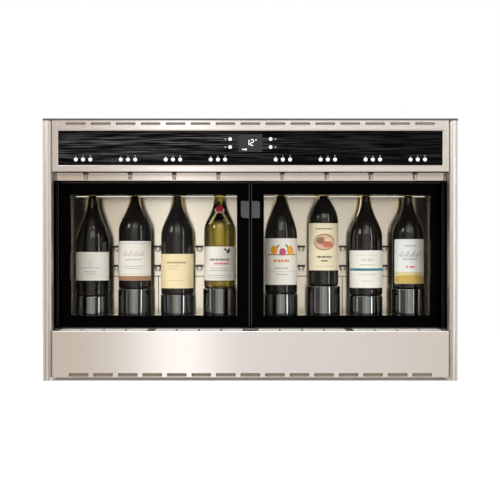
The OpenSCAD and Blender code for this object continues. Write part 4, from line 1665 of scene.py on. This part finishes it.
@dataclass(frozen=True)
class BottleForm:
    """Outline of a wine bottle, in millimetres over its foot.

    Attributes:
        radius: Radius of the body.
        shoulder: Height at which the body starts to draw in.
        neck: Height at which the neck is reached.
        ease: Power of the shoulder's curve.
        neck_r: Radius of the neck.
        lip_r: Radius of the lip.
        lip_h: Height of the lip.
        bore_r: Radius of the neck's bore.
        heel: Radius of the round edge at the foot.
    """

    radius: float
    shoulder: float
    neck: float
    ease: float = 1.4
    neck_r: float = 15.0
    lip_r: float = 15.8
    lip_h: float = 14.0
    bore_r: float = 9.6
    heel: float = 6.0

    def outer(self, z: np.ndarray, height: float) -> np.ndarray:
        """Radius at each height.

        Above the shoulder it is the neck's radius plus the rest times ((1 + cos(pi t)) / 2) to the power
        ease, with t from 0 at the shoulder to 1 at the neck. The heel is a quarter circle, and the lip is
        a band.

        Args:
            z: Heights over the foot.
            height: Height of the bottle.

        Returns:
            The radii.
        """
        t = np.clip((z - self.shoulder) / (self.neck - self.shoulder), 0, 1)
        body = self.neck_r + (self.radius - self.neck_r) * ((1 + np.cos(np.pi * t)) / 2) ** self.ease
        under = np.clip(1 - z / self.heel, 0, 1)
        heel = self.heel * (1 - np.sqrt(1 - under * under))
        lip = (self.lip_r - self.neck_r) * np.clip((z - (height - self.lip_h)) / 1.0, 0, 1)
        return body - heel + lip


@dataclass
class Bottle:
    """A bottle that stands on a lifter, pressed up to its tap head.

    Attributes:
        station: Number of its lifter.
        form: Outline of the bottle.
        label: Label on its front.
        glass: Finish of the glass.
        wine: Finish of the wine.
        collar: Marks round its neck, in millimetres over the foot.
        wall: Thickness of the glass in millimetres.
        thicker: How much thicker it is at the neck.
        ullage: Height from the wine to the mouth in millimetres.
        paper: Height of the label's front over the glass in millimetres.
        stack: Height over the glass on which the prints are stacked.
        film: Step in height from one print to the next.
        mouth_in_head: How far the mouth reaches into the tap head, in metres.
        gap: Space between its foot and the lifter, in metres.
        body: Body that it stands on.
        foot: Middle of its foot, in metres.
        height: Its height in millimetres.
    """

    station: int
    form: BottleForm
    label: Label
    glass: Finish = Look.DARK_GLASS
    wine: Finish = Look.RED_WINE
    collar: tuple[Mark, ...] = ()
    wall: float = 3.2
    thicker: float = 3.6
    ullage: float = 55.0
    paper: float = 0.2
    stack: float = 0.24
    film: float = 0.03
    mouth_in_head: float = 10 * MM
    gap: float = 0.1 * MM
    body: str = field(init=False)
    foot: Vector = field(init=False)
    height: float = field(init=False)

    def __post_init__(self) -> None:
        """Work out where it stands, from its lifter and the tap heads."""
        self.body = f"lifter_{self.station}"
        lifter = Box.of(self.body)
        self.foot = Vector((lifter.centre.x, lifter.centre.y, lifter.high.z + self.gap))
        self.height = (Box.of("tap_heads").low.z + self.mouth_in_head - self.foot.z) / MM

    def build(self) -> None:
        """Make the glass, the wine and the labels."""
        self.shell()
        self.filling()
        self.printed("label", self.label_marks())
        if self.collar:
            self.printed("collar", [(m, self.paper * k) for k, m in enumerate(self.collar, start=1)])

    def revolved(self, kind: str, profile: np.ndarray, finish: Finish) -> None:
        """Make a piece from a profile turned about the bottle's axis.

        Args:
            kind: Kind of the piece.
            profile: Pairs of radius and height in millimetres.
            finish: The finish that it wears.
        """
        shape = Shape.lofted(turned(profile * MM, self.foot, around=64))
        made(f"{kind}_{self.station}", self.body, shape, finish, sharp=60)

    def shell(self) -> None:
        """Glass: the hollow foot, the outer outline, the lip, and the bore down to where the wine begins."""
        form, height = self.form, self.height
        lip = height - form.lip_h
        z = np.concatenate([form.heel * (1 - np.cos(np.linspace(0.2, np.pi / 2, 6))),
                            np.linspace(form.heel + 4, form.shoulder, 6),
                            np.linspace(form.shoulder, form.neck, 24)[1:],
                            [lip - 0.5, lip, lip + 1, height - 1]])
        outside = np.stack([form.outer(z, height), z], axis=-1)
        level = height - self.ullage + 0.6
        inside = np.array([(form.lip_r - 1.2, height), (form.bore_r + 0.8, height),
                           (form.bore_r, height - 1.5), (form.bore_r, level), (0.3, level)])
        foot = np.array([(0.3, 2.5), (form.radius - form.heel - 6, 1.2), (form.radius - form.heel - 1, 0)])
        self.revolved("bottle", np.vstack([foot, outside, inside]), self.glass)

    def filling(self) -> None:
        """Wine: the outline drawn in by the glass wall, which thickens towards the neck."""
        form = self.form
        fill = self.height - self.ullage
        z = np.concatenate([[3.6, 4.2, 6.5], np.linspace(10, form.shoulder, 4),
                            np.linspace(form.shoulder, fill, 24)[1:]])
        outer = form.outer(z, self.height)
        neck = 1 - np.clip((outer - form.neck_r) / (form.radius - form.neck_r), 0, 1)
        radii = outer - self.wall - self.thicker * neck - np.array([4, 1.6, 0.3] + [0] * (len(z) - 3))
        profile = np.vstack([[(0.3, z[0])], np.stack([radii, z], axis=-1), [(0.3, fill)]])
        self.revolved("wine", profile, self.wine)

    def label_marks(self) -> list[tuple[Mark, float]]:
        """Lay out the label's paper and print.

        Returns:
            The marks, each with its height over the glass in millimetres.
        """
        label = self.label
        middle = (label.low + label.high) / 2
        width = 2 * self.form.radius * np.radians(label.reach)
        paper = Mark(0, middle, width, label.high - label.low, label.paper, label.outline,
                     corner=label.corner)
        prints = [(replace(m, up=middle + m.up), self.stack + self.film * k)
                  for k, m in enumerate(label.marks, start=1)]
        return [(paper, self.paper)] + prints

    def wrapped(self, across: np.ndarray, up: np.ndarray, proud: float) -> np.ndarray:
        """Lay marks round the glass.

        The way across becomes the angle across / r on the body's radius r.

        Args:
            across: Ways to the right.
            up: Heights over the foot.
            proud: Height over the glass.

        Returns:
            The points.
        """
        radius = self.form.outer(up / MM, self.height) * MM + proud
        angle = across / (self.form.radius * MM)
        return np.stack([self.foot.x + radius * np.sin(angle), self.foot.y - radius * np.cos(angle),
                         self.foot.z + up], axis=-1)

    def printed(self, kind: str, layers: list[tuple[Mark, float]]) -> None:
        """Make a printed piece.

        Args:
            kind: Kind of the piece.
            layers: Its marks, each with its height over the glass in millimetres.
        """
        plates, tints = [], []
        for mark, layer in layers:
            back = HAIR if layer <= self.paper else (layer - self.film) * MM
            plates.append(mark.plate(self.wrapped, back, layer * MM))
            tints.append(np.tile(mark.colour, (len(plates[-1].points), 1)))
        made(f"{kind}_{self.station}", self.body, Shape.joined(plates), Look.PAPER,
             tints=np.vstack(tints))


class Bottles:
    """The eight bottles, left to right, with plain generic labels."""

    def build(self) -> None:
        """Build all bottles."""
        for bottle in self.bottles():
            bottle.build()

    @staticmethod
    def bottles() -> list[Bottle]:
        """List the bottles with their labels.

        Returns:
            The bottles, left to right.
        """
        white, ink, faded, ivory = Print.WHITE, Print.INK, Print.FADED, tint(242, 238, 230)
        diamond, oval, rounded = Outline.DIAMOND, Outline.OVAL, Outline.ROUNDED
        return [
            Bottle(1, BottleForm(42.8, 138, 262), Label(41, 114, 84, ivory, (
                Mark(0, 8, 13, 13, ink, diamond), Mark(0, 8, 11.4, 11.4, ivory, diamond),
                Mark(0, -4, 52, 0.7, ink), *words(-14, 34, 1.6, 4), *words(-20, 26, 1.2, 3)))),
            Bottle(2, BottleForm(42, 150, 242), Label(22, 123, 84, white, (
                Mark(0, 44, 104, 0.8, faded), Mark(0, -34, 104, 0.8, faded),
                Mark(0, -44.5, 119, 11.5, tint(176, 128, 96)), *script(18, 56, 13, 13, tint(176, 140, 130)),
                *words(3, 40, 2.2, 4), *words(-14, 52, 1.4, 5), *words(-20, 40, 1.4, 4)))),
            Bottle(3, BottleForm(42, 152, 256), Label(17, 105, 84, tint(253, 231, 186), (
                Mark(-36, 0, 0.6, 80, tint(206, 186, 140)), Mark(36, 0, 0.6, 80, tint(206, 186, 140)),
                *words(22, 52, 4.4, 12, tint(150, 128, 88), gap=0.35), *words(13, 30, 1.6, 3, across=-6),
                *words(6, 22, 1.4, 2, across=-10), *words(-24, 40, 1.2, 5, tint(196, 178, 138))))),
            Bottle(4, BottleForm(40.5, 148, 238), Label(21, 108, 84, white, (
                *words(10, 54, 5.4, 12, tint(84, 72, 68), gap=0.3),
                *words(0, 38, 4.6, 9, tint(214, 84, 76), across=6, gap=0.3),
                Mark(24, 32, 12, 16, ink, diamond, lean=0.4), Mark(15, 36, 7, 9, ink, diamond, lean=-0.4),
                *words(-12, 48, 1.4, 5), *words(-18, 48, 1.4, 4), Mark(0, -30, 66, 0.7, ink),
                *words(-36, 60, 1.2, 6))),
                glass=Look.OLIVE_GLASS, wine=Look.WHITE_WINE, collar=(
                    Mark(-17, 186, 11, 40, white, lean=0.62), Mark(17, 186, 11, 40, white, lean=-0.62),
                    Mark(0, 203, 52, 16, white, oval), Mark(0, 206, 40, 19, tint(214, 28, 34), oval))),
            Bottle(5, BottleForm(41.8, 146, 268, ease=1.1), Label(24, 143, 84, white, (
                Mark(0, 18, 84, 3.2, tint(150, 132, 84)), Mark(-20, 30, 20, 22, tint(236, 158, 44), oval),
                Mark(3, 25, 17, 19, tint(204, 70, 122), oval), Mark(24, 29, 20, 24, tint(240, 172, 62), oval),
                Mark(-9, 39, 6, 13, tint(96, 128, 70), diamond, lean=0.5),
                Mark(14, 40, 6, 13, tint(84, 118, 66), diamond, lean=-0.5),
                *words(2, 40, 6.6, 7, tint(226, 132, 56), gap=0.3), *words(-17, 36, 2.6, 3),
                Mark(0, -25, 92, 0.6, faded), *words(-33, 30, 1.8, 3)))),
            Bottle(6, BottleForm(38.4, 165, 227, ease=0.5), Label(41, 162, 84, Print.CREAM, (
                Mark(0, 12, 58, 42, tint(120, 82, 66), oval), Mark(0, 12, 54, 38, tint(226, 186, 152), oval),
                Mark(-9, 16, 26, 18, tint(156, 112, 96), oval), Mark(9, 6, 28, 16, tint(206, 112, 92), oval),
                Mark(8, 18, 18, 7, tint(240, 214, 178), oval, lean=0.6),
                *words(46, 46, 2.8, 15, ink, gap=0.35), *words(-26, 38, 4.4, 9, ink, gap=0.3),
                *words(-36, 16, 3.6, 4, ink, gap=0.3), *words(-50, 50, 1.0, 6)))),
            Bottle(7, BottleForm(42.6, 150, 258), Label(21, 117, 84, white, (
                Mark(0, -1, 119, 6.5, tint(70, 138, 156)), Mark(0, -1, 60, 4, tint(44, 104, 128)),
                *script(24, 30, 9, 8, tint(150, 138, 138)), *words(11, 40, 1.8, 4),
                Mark(0, 36, 60, 0.6, faded), *words(-14, 46, 1.4, 5), *words(-30, 26, 1.2, 3)))),
            Bottle(8, BottleForm(41.2, 138, 236), Label(14, 128, 66, tint(236, 236, 234), (
                Mark(0, -46, 93, 21, tint(206, 170, 84), rounded, corner=0.5),
                Mark(0, -31, 94, 9, tint(222, 208, 160)),
                *words(40, 30, 3.4, 8, tint(170, 160, 176), gap=0.35),
                *script(18, 56, 16, 13, tint(78, 74, 74)),
                *words(6, 36, 2.4, 3, tint(150, 142, 140)), *words(-14, 22, 5.0, 2, tint(226, 128, 160))),
                rounded)),
        ]


# ---- Studio ----


@dataclass
class Studio:
    """Camera, lamps, floor and surroundings.

    Attributes:
        camera_y: Place of the camera before the machine.
        camera_z: Height of the camera.
        lens: Focal length in millimetres.
        shift: Shift of the picture to the side.
        aim: Height that the lamps point at.
        ambient: Grey of the surroundings, as plain surfaces receive it.
        gloss_gain: Strength of the walls that gloss and glass show.
        floor_r: Radius of the floor.
        floor_glow: Strength of the floor's glow to the eye.
        painted_shadow_x: Half-width of the painted shadow under the machine, where the floor doesn't glow.
        painted_shadow_y: Half-depth of the painted shadow.
        painted_shadow_soft: Width of the painted shadow's soft edge.
    """

    camera_y: float = -2.955
    camera_z: float = 0.3203
    lens: float = 81.27
    shift: float = -0.0008
    aim: float = 0.32
    ambient: float = 0.66
    gloss_gain: float = 2.0
    floor_r: float = 1.7
    floor_glow: float = 0.35
    painted_shadow_x: float = 0.505
    painted_shadow_y: float = 0.186
    painted_shadow_soft: float = 0.015

    def build(self) -> None:
        """Set the stage."""
        self.camera()
        self.world()
        self.floor()
        self.lamp("high_left", (-1.84, -1.75, 1.68), (0.42, 1.0), 17)
        self.lamp("strip_right", (1.1, -1.2, 0.62), (0.2, 1.5), 4.5)
        self.lamp("softbox_front", (0.2, -3.3, 2.1), (2.2, 1.0), 12)
        self.lamp("softbox_top", (-0.3, -1.3, 2.4), (2.4, 1.2), 26)
        self.lamp("softbox_rear", (0.4, 2.2, 1.9), (2.0, 1.2), 9)
        bpy.context.scene.view_settings.view_transform = "Standard"

    def camera(self) -> None:
        """The photograph's viewpoint: level, straight on, far away."""
        data = bpy.data.cameras.new("camera")
        data.sensor_width = 36
        data.lens = self.lens
        data.shift_x = self.shift
        camera = bpy.data.objects.new("camera", data)
        camera.location = (0, self.camera_y, self.camera_z)
        camera.rotation_euler = (np.pi / 2, 0, 0)
        bpy.context.scene.collection.objects.link(camera)
        bpy.context.scene.camera = camera

    def lamp(self, name: str, place: Triple, size: Pair, power: float) -> None:
        """A soft rectangular lamp that points at the machine.

        Args:
            name: Name of the lamp.
            place: Where it hangs.
            size: Width and height.
            power: Power in watts.
        """
        data = bpy.data.lights.new(name, "AREA")
        data.shape = "RECTANGLE"
        data.size, data.size_y = size
        data.energy = power
        lamp = bpy.data.objects.new(name, data)
        lamp.location = place
        lamp.rotation_euler = (Vector((0, 0, self.aim)) - Vector(place)).to_track_quat("-Z", "Y").to_euler()
        lamp.visible_camera = False
        bpy.context.scene.collection.objects.link(lamp)

    def world(self) -> None:
        """White to the eye, bright and dark walls to gloss and glass, and an even grey to all else."""
        world = bpy.data.worlds.new("studio")
        world.use_nodes = True
        bpy.context.scene.world = world
        nodes = Nodes(world.node_tree)
        split = nodes.node("ShaderNodeSeparateXYZ")
        nodes.link(nodes.node("ShaderNodeTexCoord").outputs["Generated"], split.inputs[0])
        angle = nodes.math("ARCTAN2", split.outputs["X"], nodes.math("MULTIPLY", split.outputs["Y"], -1))
        ramp = nodes.node("ShaderNodeValToRGB")
        nodes.link(nodes.spread(angle, -np.pi, np.pi, 0, 1), ramp.inputs["Fac"])
        self.walls(ramp.color_ramp)
        lift = nodes.node("ShaderNodeVectorMath", operation="SCALE")
        lift.inputs["Scale"].default_value = self.gloss_gain
        nodes.link(ramp.outputs["Color"], lift.inputs[0])
        path = nodes.node("ShaderNodeLightPath").outputs
        shiny = nodes.math("MAXIMUM", path["Is Glossy Ray"], path["Is Transmission Ray"])
        light = nodes.blend(shiny, (self.ambient,) * 3, lift.outputs["Vector"])
        seen = nodes.blend(path["Is Camera Ray"], light, (1.0, 1.0, 1.0))
        nodes.link(seen, nodes.tree.nodes["Background"].inputs["Color"])

    @staticmethod
    def walls(ramp: bpy.types.ColorRamp) -> None:
        """Set the brightness of the studio round the machine.

        Args:
            ramp: Ramp over the angle to the right of the front, from -180 to 180 degrees.
        """
        white, bright, glow = (0.68, 0.66, 0.64), (0.95, 0.93, 0.90), (0.78, 0.775, 0.77)
        plain, side, warm = (0.46, 0.445, 0.435), (0.41, 0.385, 0.36), (0.39, 0.355, 0.31)
        beige, even, shade = (0.365, 0.325, 0.285), (0.33, 0.32, 0.31), (0.13, 0.12, 0.12)
        dim, dark = (0.09, 0.085, 0.08), (0.05, 0.048, 0.046)
        stops = [(-160, warm), (-100, warm), (-97, bright), (-92, bright), (-89, shade), (-74, shade),
                 (-71, bright), (-67, bright), (-64, shade), (-50, dim), (-29, dim), (-26, beige),
                 (-8, beige), (-5.7, plain), (-5.3, glow), (-2.7, glow), (-2.2, plain), (5, plain),
                 (9, side), (23, side), (26, dark), (60, dark), (66, shade), (74, shade), (78, white),
                 (118, white), (128, even), (160, even)]
        for end, position in zip(ramp.elements, (0, 1)):
            end.position = position
            end.color = (*shade, 1)
        for degrees, colour in stops:
            ramp.elements.new((degrees + 180) / 360).color = (*colour, 1)

    def floor(self) -> None:
        """Pale round floor that shows the machine's shadow, and glows to the eye except under the machine,
        where the lack of glow is a painted shadow.
        """
        mesh = bpy.data.meshes.new("floor")
        angle = np.arange(96) * TURN / 96
        points = np.stack([self.floor_r * np.cos(angle), self.floor_r * np.sin(angle), 0 * angle], axis=-1)
        mesh.from_pydata(points.tolist(), [], [list(range(96))])
        floor = bpy.data.objects.new("floor", mesh)
        bpy.context.scene.collection.objects.link(floor)
        shader = Shader("pale_floor")
        shader.set(Base_Color=(0.9, 0.9, 0.9, 1), Roughness=0.9, Specular_IOR_Level=0.0,
                   Emission_Color=(1, 1, 1, 1))
        # Painted shadow: no glow under the machine, so the floor there reads darker.
        past_painted_shadow = [shader.math("SUBTRACT", shader.math("ABSOLUTE", shader.place(axis)), reach)
                  for axis, reach in (("X", self.painted_shadow_x), ("Y", self.painted_shadow_y))]
        glow = shader.spread(shader.math("MAXIMUM", *past_painted_shadow), 0, self.painted_shadow_soft, 0, self.floor_glow)
        seen = shader.node("ShaderNodeLightPath").outputs["Is Camera Ray"]
        shader.link(shader.math("MULTIPLY", seen, glow), shader.principled.inputs["Emission Strength"])
        shader.clear_to("Is Glossy Ray", (1.0, 1.0, 1.0))
        mesh.materials.append(shader.material)


def main() -> None:
    """Build the studio, then the machine part by part, and log what is built."""
    logging.basicConfig(level=logging.INFO, format="%(name)s: %(message)s")
    Studio().build()
    for part in (Casing(), Controls(), Doors(), Chambers(), Taps(), DripTray(), Bottles()):
        log.info("building %s", type(part).__name__)
        part.build()


if __name__ == "__main__":
    main()
